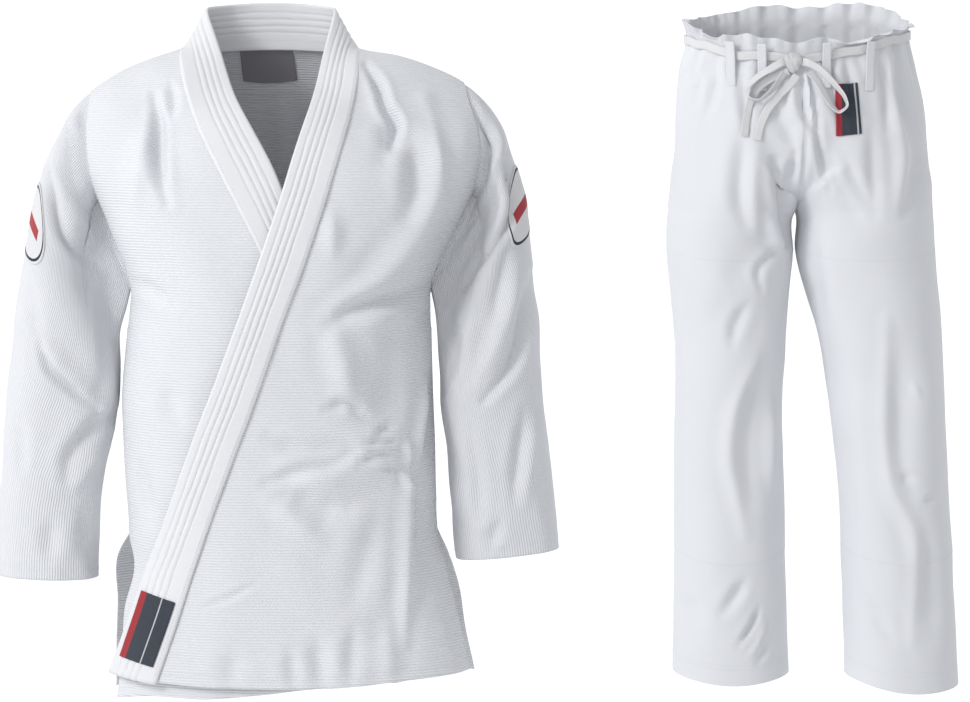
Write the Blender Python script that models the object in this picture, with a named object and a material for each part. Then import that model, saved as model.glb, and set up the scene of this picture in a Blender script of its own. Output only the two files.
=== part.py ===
"""Jiu-jitsu uniform, jacket and trousers filled out side by side.

Sizes below are millimetres in the shared frame: X across, Y front to back
(the front faces -Y), Z up.  Origin: middle of the jacket's neck at shoulder
height.  Every cloth piece is a shell laid between two heights over a smooth
body surface, so that pieces that lie on each other share one form.
"""
import math

import bpy
import numpy as np

MM = 0.001
SEAM = 0.25          # half of the gap between two pieces at a side seam
JACKET_CLOTH = 2.0
BAND_CLOTH = 4.4
TROUSER_CLOTH = 1.4

for obj in list(bpy.data.objects):
    bpy.data.objects.remove(obj, do_unlink=True)


PARTS = bpy.data.collections.new("jiu_jitsu_uniform")
bpy.context.scene.collection.children.link(PARTS)


def material(name, colour, rough=0.85):
    mat = bpy.data.materials.new(name)
    mat.use_nodes = True
    shader = mat.node_tree.nodes["Principled BSDF"]
    shader.inputs["Base Color"].default_value = (*colour, 1.0)
    shader.inputs["Roughness"].default_value = rough
    mat.diffuse_color = (*colour, 1.0)
    return mat


def smooth(edge0, edge1, x):
    t = np.clip((x - edge0) / (edge1 - edge0), 0.0, 1.0)
    return t * t * (3 - 2 * t)


def curve(xs, ys, x):
    """Smooth curve through (xs, ys), xs rising."""
    xs = np.asarray(xs, float)
    ys = np.asarray(ys, float)
    slope = np.gradient(ys, xs)
    x = np.clip(np.asarray(x, float), xs[0], xs[-1])
    i = np.clip(np.searchsorted(xs, x, side="right") - 1, 0, len(xs) - 2)
    h = xs[i + 1] - xs[i]
    t = (x - xs[i]) / h
    return ((2 * t**3 - 3 * t**2 + 1) * ys[i] + (t**3 - 2 * t**2 + t) * h * slope[i]
            + (3 * t**2 - 2 * t**3) * ys[i + 1] + (t**3 - t**2) * h * slope[i + 1])


def path(points, t):
    """Point at share t of the length of a smooth line through points."""
    pts = np.asarray(points, float)
    run = np.concatenate([[0], np.cumsum(np.linalg.norm(np.diff(pts, axis=0), axis=1))])
    t = np.asarray(t, float) * run[-1]
    return np.stack([curve(run, pts[:, k], t) for k in range(pts.shape[1])], axis=-1)


def by_height(table, z):
    """Value at height z in a table of (z, value), highest first."""
    rows = table[::-1]
    return curve([r[0] for r in rows], [r[1] for r in rows], z)


def coons(top, bottom, left, right, us, vs):
    """Flat grid between four edge lines, each a function of 0..1."""
    u = np.asarray(us)[None, :, None]
    v = np.asarray(vs)[:, None, None]
    t, b = top(np.asarray(us))[None], bottom(np.asarray(us))[None]
    lf, r = left(np.asarray(vs))[:, None], right(np.asarray(vs))[:, None]
    c00, c10 = top(np.array([0.0]))[0], top(np.array([1.0]))[0]
    c01, c11 = bottom(np.array([0.0]))[0], bottom(np.array([1.0]))[0]
    return ((1 - v) * t + v * b + (1 - u) * lf + u * r
            - (1 - u) * (1 - v) * c00 - u * (1 - v) * c10 - (1 - u) * v * c01 - u * v * c11)


def normals(p, flip=False, wrap=False):
    if wrap:
        q = np.concatenate([p[:, -2:-1], p, p[:, 1:2]], axis=1)
        du = (q[:, 2:] - q[:, :-2])
    else:
        du = np.gradient(p, axis=1)
    dv = np.gradient(p, axis=0)
    n = np.cross(du, dv)
    n /= np.maximum(np.linalg.norm(n, axis=2, keepdims=True), 1e-9)
    return -n if flip else n


def cut_square(n, where, axis=1, default=(0.0, 0.0, 1.0)):
    """Turn the normals named by where into the plane of the seam, for a clean cut."""
    part = n[where].copy()
    part[..., axis] = 0
    size = np.linalg.norm(part, axis=-1, keepdims=True)
    n[where] = np.where(size > 0.15, part / np.maximum(size, 1e-9), np.array(default))
    return n


def shell(name, p, n, low, high, mat, wrap=False):
    """Closed body between two heights over the grid p with normals n."""
    low = np.broadcast_to(np.asarray(low, float), p.shape[:2])[..., None]
    high = np.broadcast_to(np.asarray(high, float), p.shape[:2])[..., None]
    inner, outer = p + n * low, p + n * high
    rows, cols = p.shape[:2]
    if wrap:
        inner, outer, cols = inner[:, :-1], outer[:, :-1], cols - 1
    verts = np.concatenate([outer.reshape(-1, 3), inner.reshape(-1, 3)]) * MM
    half = rows * cols
    faces = []

    def quad(a, b, c, d, other=False):
        if other:
            faces.extend(((a, b, d), (b, c, d)))
        else:
            faces.extend(((a, b, c), (a, c, d)))

    span = cols if wrap else cols - 1
    for i in range(rows - 1):
        for j in range(span):
            k = (j + 1) % cols
            a, b, c, d = i * cols + j, i * cols + k, (i + 1) * cols + k, (i + 1) * cols + j
            cross = bool(np.linalg.norm(verts[b] - verts[d]) < np.linalg.norm(verts[a] - verts[c]))
            quad(a, d, c, b, cross)
            quad(a + half, b + half, c + half, d + half, cross)
    for j in range(span):
        k = (j + 1) % cols
        a, b = j, k
        quad(a, b, b + half, a + half)
        a, b = (rows - 1) * cols + j, (rows - 1) * cols + k
        quad(b, a, a + half, b + half)
    if not wrap:
        for i in range(rows - 1):
            a, b = i * cols, (i + 1) * cols
            quad(b, a, a + half, b + half)
            a, b = i * cols + cols - 1, (i + 1) * cols + cols - 1
            quad(a, b, b + half, a + half)
    mesh = bpy.data.meshes.new(name)
    mesh.from_pydata([tuple(v) for v in verts], [], faces)
    mesh.update()
    volume = 0.0
    tri = np.array(faces)
    a, b, c = verts[tri[:, 0]], verts[tri[:, 1]], verts[tri[:, 2]]
    volume = float(np.einsum("ij,ij->i", a, np.cross(b, c)).sum())
    if volume < 0:
        mesh.flip_normals()
    obj = bpy.data.objects.new(name, mesh)
    obj.data.materials.append(mat)
    PARTS.objects.link(obj)
    return obj


def rounded(n, both=False):
    """Shares 0..1, crowded at 1, or at both ends."""
    k = np.linspace(0, 1, n)
    if both:
        return (1 - np.cos(math.pi * k)) / 2
    return np.sin(math.pi / 2 * k)


WHITE = material("white_weave", (0.80, 0.81, 0.84))
WHITE_BAND = material("white_band", (0.82, 0.83, 0.86))
WHITE_TWILL = material("white_twill", (0.80, 0.81, 0.84), 0.9)
SLATE = material("slate_patch", (0.06, 0.075, 0.10))
GREY = material("grey_label", (0.42, 0.43, 0.45))
TAPE = material("white_tape", (0.84, 0.85, 0.87), 0.7)

# Jacket: half outlines by height (z, x)
BODY_LEFT = [(60, -236), (-60, -262), (-150, -240), (-230, -206), (-309, -179), (-386, -186), (-458, -191),
             (-510, -190), (-563, -187), (-625, -184), (-660, -184), (-723, -202), (-790, -209), (-860, -214)]
BODY_RIGHT = [(60, 262), (-48, 292), (-150, 276), (-230, 240), (-309, 206), (-386, 207), (-458, 209),
              (-510, 211), (-563, 212), (-625, 214), (-660, 223), (-720, 246), (-803, 270), (-860, 276)]
BACK_LEFT = BODY_LEFT[:10] + [(-666, -209), (-729, -222), (-783, -226), (-860, -230)]
BACK_RIGHT = BODY_RIGHT[:10] + [(-656, 228), (-702, 250), (-756, 266), (-819, 282), (-860, 288)]
FRONT_DEPTH = [(60, 92), (-40, 96), (-100, 104), (-180, 121), (-300, 128), (-480, 122), (-640, 120), (-860, 124)]
BACK_DEPTH = [(60, 112), (-40, 112), (-180, 116), (-300, 112), (-480, 100), (-640, 110), (-860, 124)]
RIDGE = [(-300, -100), (-258, -80), (-228, -58), (-193, -35), (-154, -18), (-115, -5), (-60, 20), (0, 27),
         (60, 20), (118, -5), (168, -14), (207, -27), (250, -48), (280, -72), (320, -100)]

# Large folds of the jacket front: start, end, half width, depth (+ is a trough)
JACKET_FOLDS = [
    (-146, -44, -122, -150, 22, 5.0), (104, -60, 176, -130, 24, 5.0),
    (204, -80, 224, -210, 22, 5.0), (226, -222, 140, -336, 25, 4.5),
    (-196, -100, -184, -226, 22, 4.5), (-172, -320, -84, -404, 24, 4.0),
    (206, -520, 60, -600, 26, 4.5), (208, -420, 96, -476, 24, 4.0),
]


def folds_at(table, x, z):
    out = np.zeros_like(x)
    for x0, z0, x1, z1, width, depth in table:
        dx, dz = x1 - x0, z1 - z0
        size = dx * dx + dz * dz
        t = ((x - x0) * dx + (z - z0) * dz) / size
        away = ((x - x0) * dz - (z - z0) * dx) / math.sqrt(size)
        ends = smooth(-0.15, 0.25, t) * (1 - smooth(0.75, 1.15, t))
        out += depth * ends * np.exp(-(away / width) ** 2)
    return out


def ridge_height(x):
    return curve([r[0] for r in RIDGE], [r[1] for r in RIDGE], x)


def body_depth(x, z, front):
    left = by_height(BODY_LEFT if front else BACK_LEFT, z)
    right = by_height(BODY_RIGHT if front else BACK_RIGHT, z)
    xi = np.clip((x - (left + right) / 2) / ((right - left) / 2), -1, 1)
    wide = (1 - np.abs(xi) ** 2.5) ** (1 / 2.1)
    t = np.clip((ridge_height(x) - z) / 190.0, 0, 1)
    tall = (1 - (1 - t) ** 2.3) ** 0.5
    deep = by_height(FRONT_DEPTH if front else BACK_DEPTH, z)
    out = deep * wide * tall
    if front:
        out = out - folds_at(JACKET_FOLDS, x, z) * smooth(0, 45, out)
    return out


def body(xz, front):
    x, z = xz[..., 0], xz[..., 1]
    d = SEAM + body_depth(x, z, front)
    return np.stack([x, -d if front else d, z], axis=-1)


def body_normal(xz, front):
    step = 1.0
    ex, ez = np.array([step, 0.0]), np.array([0.0, step])
    du = body(xz + ex, front) - body(xz - ex, front)
    dv = body(xz + ez, front) - body(xz - ez, front)
    n = np.cross(du, dv)
    n /= np.maximum(np.linalg.norm(n, axis=-1, keepdims=True), 1e-9)
    return n if front else -n


# Edge lines of the jacket, all (x, z)
ARM_RIGHT = [(-228, -58), (-232, -107), (-227, -164), (-210, -236), (-179, -309)]
ARM_LEFT = [(250, -48), (261, -88), (268, -132), (262, -183), (246, -228), (229, -266), (206, -309)]
SIDE_RIGHT = [(-179, -309), (-186, -386), (-191, -458), (-190, -510), (-187, -563), (-184, -632)]
SIDE_LEFT = [(206, -309), (207, -386), (209, -458), (211, -510), (212, -563), (214, -628)]
FLAP_RIGHT = [(-184, -632), (-175, -660), (-186, -723), (-190, -790), (-196, -838)]
FLAP_LEFT = [(214, -628), (225, -673), (237, -719), (254, -802)]
BACKFLAP_RIGHT = [(-184, -632), (-203, -666), (-206, -729), (-209, -783), (-211, -843)]
BACKFLAP_LEFT = [(214, -628), (226, -656), (239, -702), (249, -756), (263, -822)]
# Front opening: seam edge and free edge of the lapel that lies on top, neck to hem
TOP_SEAM = [(115, -43), (105, -92), (84, -170), (54, -262), (16, -366), (-16, -458), (-38, -518), (-71, -612),
            (-103, -712), (-136, -811)]
TOP_FREE = [(74, 5), (61, -60), (48, -105), (24, -185), (2, -250), (-33, -350), (-66, -440), (-84, -488),
            (-118, -588), (-194, -804)]
UNDER_SEAM = [(-104, -45), (-84, -100), (-54, -160), (-30, -205), (0, -265), (34, -357), (72, -465), (98, -540),
              (124, -630), (158, -808)]
UNDER_FREE = [(-66, 12), (-40, -60), (-12, -110), (10, -150), (34, -205), (76, -325), (112, -440), (140, -526),
              (170, -616), (208, -800)]


def lift(xz):
    """How far the top front is pushed out by the front that lies under it."""
    x, z = xz[..., 0], xz[..., 1]
    return 12.0 * smooth(2, 42, by_height(BODY_RIGHT, z) - x) * smooth(-66, -150, z)


def line(points):
    return lambda t: path(points, t)


def joined(*parts):
    """One line through several, with the corners kept."""
    sizes = [np.linalg.norm(np.diff(np.asarray(p, float), axis=0), axis=1).sum() for p in parts]
    ends = np.cumsum(sizes) / sum(sizes)

    def at(t):
        t = np.asarray(t, float)
        out = np.zeros((len(t), 2))
        start = 0.0
        for part, end in zip(parts, ends):
            inside = (t >= start - 1e-9) & (t <= end + 1e-9)
            out[inside] = path(part, np.clip((t[inside] - start) / (end - start), 0, 1))
            start = end
        return out
    return at, list(ends)


def split_rows(counts, ends, first=1.0):
    """Row shares with whole numbers of rows between the corners."""
    out, start = [], 0.0
    for k, (count, end) in enumerate(zip(counts, ends)):
        share = np.linspace(0, 1, count + 1)
        if k == 0:
            share = share ** first
        out += list(start + (end - start) * share[(0 if k == 0 else 1):])
        start = end
    return np.array(out)


def ridge_line(x0, x1):
    def at(t):
        x = x0 + (x1 - x0) * np.asarray(t, float)
        return np.stack([x, ridge_height(x)], axis=-1)
    return at


ROWS = (9, 8, 7)      # rows of faces along the armhole, the side seam and the vent


def build_front(name, seam_line, free_line, arm, side, flap, left_side, hem, raised):
    shares = [-0.05 + 0.40 * float(smooth(-115, -230, q[1])) for q in seam_line]
    edge = [tuple((1 - k) * a + k * b for a, b in zip(q, r)) for k, q, r in zip(shares, seam_line, free_line)]
    neck_x = 117 if left_side else -114
    edge = [(neck_x, float(ridge_height(np.array(neck_x))))] + edge
    side_at, ends = joined(arm, side, flap)
    vs = split_rows(ROWS, ends, 1.5)
    us = rounded(13)
    xz = coons(ridge_line(neck_x, arm[0][0]), line(hem), line(edge), side_at, us, vs)
    p = body(xz, True)
    n = normals(p, flip=left_side)
    if n[len(vs) // 2, 3, 1] > 0:
        n = -n
    cut_square(n, (0, slice(None)))
    cut_square(n, (slice(ROWS[0], ROWS[0] + ROWS[1] + 1), -1), default=(1.0 if left_side else -1.0, 0.0, 0.0))
    low = lift(xz) if raised else np.zeros(xz.shape[:2])
    shell(name, p, n, low, low + JACKET_CLOTH, WHITE)
    reach = slice(0, ROWS[0] + 1)
    return (p + n * (low + JACKET_CLOTH / 2)[..., None])[reach, -1], n[reach, -1]


HEM_TOP = [(-155, -806), (-21, -811), (100, -810), (170, -805), (254, -802)]
HEM_UNDER = [(176, -806), (120, -812), (48, -816), (-9, -823), (-73, -829), (-162, -831), (-196, -838)]
ARM_FRONT_LEFT = build_front("jacket_front_left", TOP_SEAM, TOP_FREE, ARM_LEFT, SIDE_LEFT, FLAP_LEFT, True, HEM_TOP,
                             True)
ARM_FRONT_RIGHT = build_front("jacket_front_right", UNDER_SEAM, UNDER_FREE, ARM_RIGHT, SIDE_RIGHT, FLAP_RIGHT,
                              False, HEM_UNDER, False)

# Jacket back: one panel from armhole to armhole, its top edge the neck seam
NECK_X = (-114.0, 117.0)


def neck_seam(x):
    mid = (NECK_X[0] + NECK_X[1]) / 2
    xi = np.clip((x - mid) / ((NECK_X[1] - NECK_X[0]) / 2), -1, 1)
    return -5 + 7 * (1 - xi ** 2)


def build_back():
    left_at, ends = joined(ARM_RIGHT, SIDE_RIGHT, BACKFLAP_RIGHT)
    right_at, _ = joined(ARM_LEFT, SIDE_LEFT, BACKFLAP_LEFT)
    vs = split_rows(ROWS, ends, 1.5)
    counts = (5, 10, 5)
    cuts = (-228.0, NECK_X[0], NECK_X[1], 250.0)
    xs = np.concatenate([np.linspace(cuts[0], cuts[1], counts[0] + 1),
                         (cuts[1] + cuts[2]) / 2 - (cuts[2] - cuts[1]) / 2
                         * np.cos(math.pi * np.linspace(0, 1, counts[1] + 1))[1:],
                         np.linspace(cuts[2], cuts[3], counts[2] + 1)[1:]])

    def top(t):
        x = cuts[0] + (cuts[3] - cuts[0]) * np.asarray(t, float)
        z = np.where((x >= NECK_X[0]) & (x <= NECK_X[1]), neck_seam(x), ridge_height(x))
        return np.stack([x, z], axis=-1)
    # columns: crowded at the sides for the lower rows, by seam corners for the top row
    flat = (xs - cuts[0]) / (cuts[3] - cuts[0])
    soft = rounded(len(xs), both=True)
    hem = line([(-211, -843), (-120, -838), (20, -836), (150, -830), (263, -822)])
    top_grid = coons(top, hem, left_at, right_at, flat, vs)
    low_grid = coons(top, hem, left_at, right_at, soft, vs)
    w = smooth(0.0, 0.3, vs)[:, None, None]
    xz = (1 - w) * top_grid + w * low_grid
    p = body(xz, False)
    n = normals(p)
    if n[len(vs) // 2, len(xs) // 2, 1] < 0:
        n = -n
    cut_square(n, (0, slice(0, counts[0] + 1)))
    cut_square(n, (0, slice(counts[0] + counts[1], None)))
    seam = slice(ROWS[0], ROWS[0] + ROWS[1] + 1)
    cut_square(n, (seam, 0), default=(-1.0, 0.0, 0.0))
    cut_square(n, (seam, -1), default=(1.0, 0.0, 0.0))
    shell("jacket_back", p, n, 0.0, JACKET_CLOTH, WHITE)
    mid, reach = p + n * JACKET_CLOTH / 2, slice(0, ROWS[0] + 1)
    return (mid[reach, 0], n[reach, 0]), (mid[reach, -1], n[reach, -1]), (p, n)


ARM_BACK_RIGHT, ARM_BACK_LEFT, BACK_GRID = build_back()

# Sleeves: rings from the armhole to the cuff
SLEEVE_RIGHT_OUT = [(-232, -61), (-258, -88), (-277, -120), (-290, -153), (-299, -185), (-312, -243), (-328, -341),
                    (-339, -432), (-348, -523), (-354, -609), (-357, -684)]
SLEEVE_RIGHT_IN = [(-183, -313), (-190, -338), (-198, -372), (-198, -419), (-198, -451), (-206, -497), (-219, -555),
                   (-226, -618), (-228, -688)]
SLEEVE_LEFT_OUT = [(254, -50), (273, -66), (292, -90), (307, -120), (318, -153), (327, -185), (337, -263),
                   (346, -367), (353, -458), (361, -523), (368, -589), (374, -650)]
SLEEVE_LEFT_IN = [(211, -313), (216, -340), (219, -372), (220, -419), (223, -471), (229, -523), (234, -589),
                  (240, -663)]


def build_sleeve(name, out_line, in_line, front, back, sign, depth):
    """Tube whose first ring follows the cut edge of the body, then turns oval."""
    rows = 21
    half_cols = ROWS[0]
    ring = np.concatenate([front[0], back[0][-2::-1]])
    ring_n = np.concatenate([front[1], back[1][-2::-1]])
    ring[0, 1] = ring[-1, 1] = ring[half_cols, 1] = 0
    ring_n[0] = ring_n[-1] = cut_square((front[1][0] + back[1][0])[None], (slice(0, 1),))[0]
    turn = np.cross(np.gradient(ring, axis=0), ring_n)
    turn[0] = turn[-1] = np.cross(ring[1] - ring[-2], ring_n[0])
    turn /= np.linalg.norm(turn, axis=1, keepdims=True)
    if turn[0, 0] * sign < 0:
        turn = -turn
    low = np.abs(np.linspace(-1, 1, 2 * half_cols + 1))
    ring = ring + turn * 1.2
    ring[:, 0] += sign * (1.5 + 1.3 * smooth(0.5, 0.05, low))
    # share of the ring's way round, so that the oval rings keep the same columns
    top, foot = ring[0], ring[half_cols]
    axis = np.array([foot[0] - top[0], foot[2] - top[2]])
    rel = np.stack([ring[:, 0] - top[0], ring[:, 2] - top[2]], axis=1) @ axis / (axis @ axis)
    theta = np.arccos(np.clip(1 - 2 * rel, -1, 1))
    theta[half_cols + 1:] = 2 * math.pi - theta[half_cols + 1:]
    even = np.linspace(0, 2 * math.pi, 2 * half_cols + 1)
    v = np.linspace(0, 1, rows) ** 0.95
    outer, inner = path(out_line, v), path(in_line, v)
    p = np.zeros((rows, len(theta), 3))
    for i in range(rows):
        w = 1 - smooth(0, 0.4, v[i])
        ang = w * theta + (1 - w) * even
        mid, half = (outer[i] + inner[i]) / 2, (outer[i] - inner[i]) / 2
        c, s = np.cos(ang), np.sin(ang)
        along = np.sign(c) * np.abs(c) ** 0.92
        p[i, :, 0] = mid[0] + half[0] * along
        p[i, :, 2] = mid[1] + half[1] * along
        deep = np.where(s > 0, curve((0, 0.3, 1), depth[0], v[i]), curve((0, 0.3, 1), depth[1], v[i]))
        p[i, :, 1] = -np.sign(s) * np.abs(s) ** 0.85 * deep
    first = p[0].copy()
    for i in range(rows):
        w = 1 - smooth(0, 0.34, v[i])
        p[i] = w * (ring + (p[i] - first)) + (1 - w) * p[i]
    n = normals(p, wrap=True)
    if np.dot(n[rows // 2, 0], p[rows // 2, 0] - p[rows // 2].mean(axis=0)) < 0:
        n = -n
    n[0] = ring_n
    n[:, -1] = n[:, 0]
    shell(name, p, n, -JACKET_CLOTH / 2, JACKET_CLOTH / 2, WHITE, wrap=True)
    return p, n


SLEEVE_DEPTH = ((56, 62, 50), (52, 60, 48))
SLEEVE_RIGHT = build_sleeve("jacket_sleeve_right", SLEEVE_RIGHT_OUT, SLEEVE_RIGHT_IN, ARM_FRONT_RIGHT,
                            ARM_BACK_RIGHT, -1, SLEEVE_DEPTH)
SLEEVE_LEFT = build_sleeve("jacket_sleeve_left", SLEEVE_LEFT_OUT, SLEEVE_LEFT_IN, ARM_FRONT_LEFT,
                           ARM_BACK_LEFT, 1, SLEEVE_DEPTH)

# Collar band: one strip, under lapel, neck and top lapel
def neck_station(x):
    """Seam edge and free edge of the standing collar at x."""
    mid, half = (NECK_X[0] + NECK_X[1]) / 2, (NECK_X[1] - NECK_X[0]) / 2
    xi = (x - mid) / half
    z = float(neck_seam(np.array(x)))
    y = float(SEAM + body_depth(np.array(x), np.array(z), False)) + JACKET_CLOTH / 2
    rise = 1 - xi * xi
    return (x, y, z + 3.6, mid + 0.74 * (x - mid), y * 0.93 - 1, 49.5 + 7 * rise)


LAPEL_ROWS = 28


def build_collar():
    across = np.linspace(0, 1, 5)
    rows = []
    for seam, free, raised in ((TOP_SEAM, TOP_FREE, True), (UNDER_SEAM, UNDER_FREE, False)):
        steps = np.linspace(0, 1, LAPEL_ROWS)
        steps = steps[::-1] if raised else steps
        q, r = path(seam, steps), path(free, steps)
        xz = q[:, None] + (r - q)[:, None] * across[None, :, None]
        p = body(xz, True)
        n = body_normal(xz, True)
        height = 3.5 + BAND_CLOTH / 2 + (lift(xz) if raised else 0 * xz[..., 0])
        on_body = p + n * height[..., None]
        # near the neck the band leaves the body and stands
        stand_q = np.array([q[:, 0], np.zeros(len(q)), q[:, 1]]).T
        stand_r = np.array([r[:, 0], np.zeros(len(r)), r[:, 1]]).T
        stand_q[:, 1] = on_body[:, 0, 1]
        stand_r[:, 1] = curve((-160, -66, 6, 30), (-112, -70, -27, -14), r[:, 1])
        ruled = stand_q[:, None] + (stand_r - stand_q)[:, None] * across[None, :, None]
        w = smooth(-30, -105, r[:, 1])[:, None, None]
        rows.append(w * on_body + (1 - w) * ruled)
    mid, half = (NECK_X[0] + NECK_X[1]) / 2, (NECK_X[1] - NECK_X[0]) / 2
    neck = []
    for turn in np.linspace(0, math.pi, 15):
        s = np.array(neck_station(mid + half * math.cos(turn)))
        neck.append(s[:3] + (s[3:] - s[:3]) * across[:, None])
    p = np.concatenate([rows[0], np.array(neck), rows[1]], axis=0)
    # even out the joins between lapel and neck
    for join in (LAPEL_ROWS, LAPEL_ROWS + 15):
        for _ in range(2):
            for i in range(join - 2, join + 2):
                p[i] = (p[i - 1] + 2 * p[i] + p[i + 1]) / 4
    n = normals(p)
    if n[8, 2, 1] > 0:
        n = -n
    bulge = np.sin(math.pi * across)[None, :, None] ** 0.5
    p = p + n * 0.8 * bulge
    return shell("jacket_collar", p, n, -BAND_CLOTH / 2, BAND_CLOTH / 2, WHITE_BAND), p, n


COLLAR, COLLAR_P, COLLAR_N = build_collar()


def patch(name, corners, surface, low, high, mat, cols=5, rows=8):
    """Flat patch with four (x, z) corners laid over a surface."""
    c = [np.array(k, float) for k in corners]
    u = np.linspace(0, 1, cols)[None, :, None]
    v = np.linspace(0, 1, rows)[:, None, None]
    xz = (1 - v) * ((1 - u) * c[0] + u * c[1]) + v * ((1 - u) * c[3] + u * c[2])
    p, n = surface(xz)
    return shell(name, p, n, low, high, mat)


def on_top_lapel(xz):
    n = body_normal(xz, True)
    p = body(xz, True) + n * (3.5 + BAND_CLOTH + lift(xz))[..., None]
    return p, n


patch("hem_patch", ((-149, -696), (-109, -706), (-137, -789), (-177, -780)), on_top_lapel, 1.6, 2.5, SLATE)


def build_neck_label():
    """Label sewn inside the back, on the back panel's own faces."""
    p, n = BACK_GRID
    mid_row = 2
    cols = np.interp([-42.0, 27.0], p[mid_row, :, 0], np.arange(p.shape[1]))
    heights = p[:, p.shape[1] // 2, 2]
    rows = np.interp([5.0, 43.0], -heights, np.arange(len(heights)))

    def stops(a, b):
        inner = np.arange(math.ceil(a + 0.15), math.floor(b - 0.15) + 1)
        return np.concatenate([[a], inner, [b]])
    i, j = stops(*rows), stops(*cols)
    q = np.zeros((len(i), len(j), 3))
    m = np.zeros_like(q)
    for a, r in enumerate(i):
        for b, c in enumerate(j):
            r0, c0 = int(r), int(c)
            fr, fc = r - r0, c - c0
            for out, grid in ((q, p), (m, n)):
                out[a, b] = ((1 - fr) * ((1 - fc) * grid[r0, c0] + fc * grid[r0, c0 + 1])
                             + fr * ((1 - fc) * grid[r0 + 1, c0] + fc * grid[r0 + 1, c0 + 1]))
    m /= np.linalg.norm(m, axis=2, keepdims=True)
    shell("neck_label", q, -m, 0.6, 1.4, GREY)


build_neck_label()

# Trousers: outlines by height (z, x)
HIP_RIGHT = [(60, 539), (16, 535), (-3, 533), (-47, 527), (-84, 525), (-142, 523), (-188, 517), (-263, 514),
             (-316, 519), (-380, 525), (-521, 525), (-668, 525.5), (-757, 525), (-840, 524)]
HIP_LEFT = [(60, 824), (8, 826), (-27, 830), (-56, 837), (-90, 844), (-136, 849), (-229, 857), (-309, 863),
            (-380, 870), (-462, 874), (-609, 883), (-726, 890), (-840, 898)]
INNER_RIGHT = HIP_LEFT[:4] + [(-100, 806), (-150, 735), (-185, 694), (-212, 677), (-263, 675), (-299, 672),
               (-345, 669), (-403, 665), (-491, 663), (-579, 667), (-668, 669), (-747, 672), (-840, 676)]
INNER_LEFT = HIP_RIGHT[:4] + [(-100, 560), (-150, 628), (-185, 665), (-212, 680), (-263, 681), (-276, 683),
              (-316, 694), (-363, 709), (-432, 722), (-491, 730), (-579, 740), (-668, 744), (-757, 748), (-840, 750)]
LEG_DEPTH_FRONT = [(60, 92), (-20, 94), (-100, 102), (-180, 96), (-260, 86), (-420, 76), (-600, 72), (-840, 70)]
LEG_DEPTH_BACK = [(60, 92), (-20, 96), (-110, 118), (-190, 108), (-280, 90), (-420, 76), (-600, 72), (-840, 70)]
RISE_X = 678.5
CROTCH_Z = -212.0
TROUSER_FOLDS = [
    (712, -100, 752, -235, 20, 5.0), (628, -80, 650, -178, 18, 4.0), (824, -110, 850, -240, 20, 4.5),
    (560, -70, 556, -200, 20, 4.0), (640, -236, 590, -300, 22, 4.0), (760, -80, 790, -190, 20, 3.5),
    (560, -330, 640, -360, 24, 3.5), (748, -420, 836, -446, 24, 3.5),
]


def trouser_depth(x, z, right, front):
    out_x = by_height(HIP_RIGHT if right else HIP_LEFT, z)
    in_x = by_height(INNER_RIGHT if right else INNER_LEFT, z)
    mid, half = (out_x + in_x) / 2, (in_x - out_x) / 2
    xi = np.clip((x - mid) / half, -1, 1)
    deep = by_height(LEG_DEPTH_FRONT if front else LEG_DEPTH_BACK, z)
    out = deep * (1 - np.abs(xi) ** 2.3) ** (1 / 2.05)
    if front:
        out = out - folds_at(TROUSER_FOLDS, x, z) * smooth(0, 40, out)
    return out


def leg(xz, right, front):
    d = SEAM + trouser_depth(xz[..., 0], xz[..., 1], right, front)
    return np.stack([xz[..., 0], -d if front else d, xz[..., 1]], axis=-1)


def build_leg(name, right, front):
    hip = HIP_RIGHT if right else HIP_LEFT
    inner = INNER_RIGHT if right else INNER_LEFT
    gap = -0.3 if right else 0.3
    zs = np.concatenate([np.linspace(-50, CROTCH_Z, 9), np.linspace(CROTCH_Z, -812, 12)[1:]])
    hem_out = -812 if right else -828
    hem_in = -812 if right else -816
    count = 12
    us = rounded(count, both=True)
    xz = np.zeros((len(zs), len(us), 2))
    for i, z in enumerate(zs):
        stretch = (z + 50) / (-812 + 50)
        z_out = z + (hem_out + 812) * max(0.0, stretch) ** 3
        z_in = z + (hem_in + 812) * max(0.0, stretch) ** 3
        x_out = float(by_height(hip, z_out))
        x_in = RISE_X + gap if z > CROTCH_Z + 1 else float(by_height(inner, z_in))
        above = smooth(CROTCH_Z, -60, np.array(z))
        share = (1 - above) * us + above * (1 - rounded(count)[::-1])
        xz[i, :, 0] = x_out + (x_in - x_out) * share
        dip = 10.0 * stretch ** 4 * np.sin(math.pi * share) if front else 4.0 * stretch ** 4 * np.sin(math.pi * share)
        xz[i, :, 1] = z_out + (z_in - z_out) * share - dip
    p = leg(xz, right, front)
    other = leg(xz, not right, front)
    near = smooth(70, 0, np.abs(xz[..., 0] - RISE_X)) * (xz[..., 1] >= CROTCH_Z - 1) / 2
    p[..., 1] += (other[..., 1] - p[..., 1]) * near
    n = normals(p)
    if (n[12, 6, 1] > 0) == front:
        n = -n
    side = -1.0 if right else 1.0
    cut_square(n, (slice(None), 0), default=(side, 0.0, 0.0))
    cut_square(n, (slice(0, 9), -1), axis=0, default=(0.0, -1.0 if front else 1.0, 0.0))
    cut_square(n, (slice(8, None), -1), default=(-side, 0.0, 0.0))
    return shell(name, p, n, -TROUSER_CLOTH / 2, TROUSER_CLOTH / 2, WHITE_TWILL)


for part_name, is_right, is_front in (("leg_front_right", True, True), ("leg_front_left", False, True),
                                      ("leg_back_right", True, False), ("leg_back_left", False, False)):
    build_leg(part_name, is_right, is_front)

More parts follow.
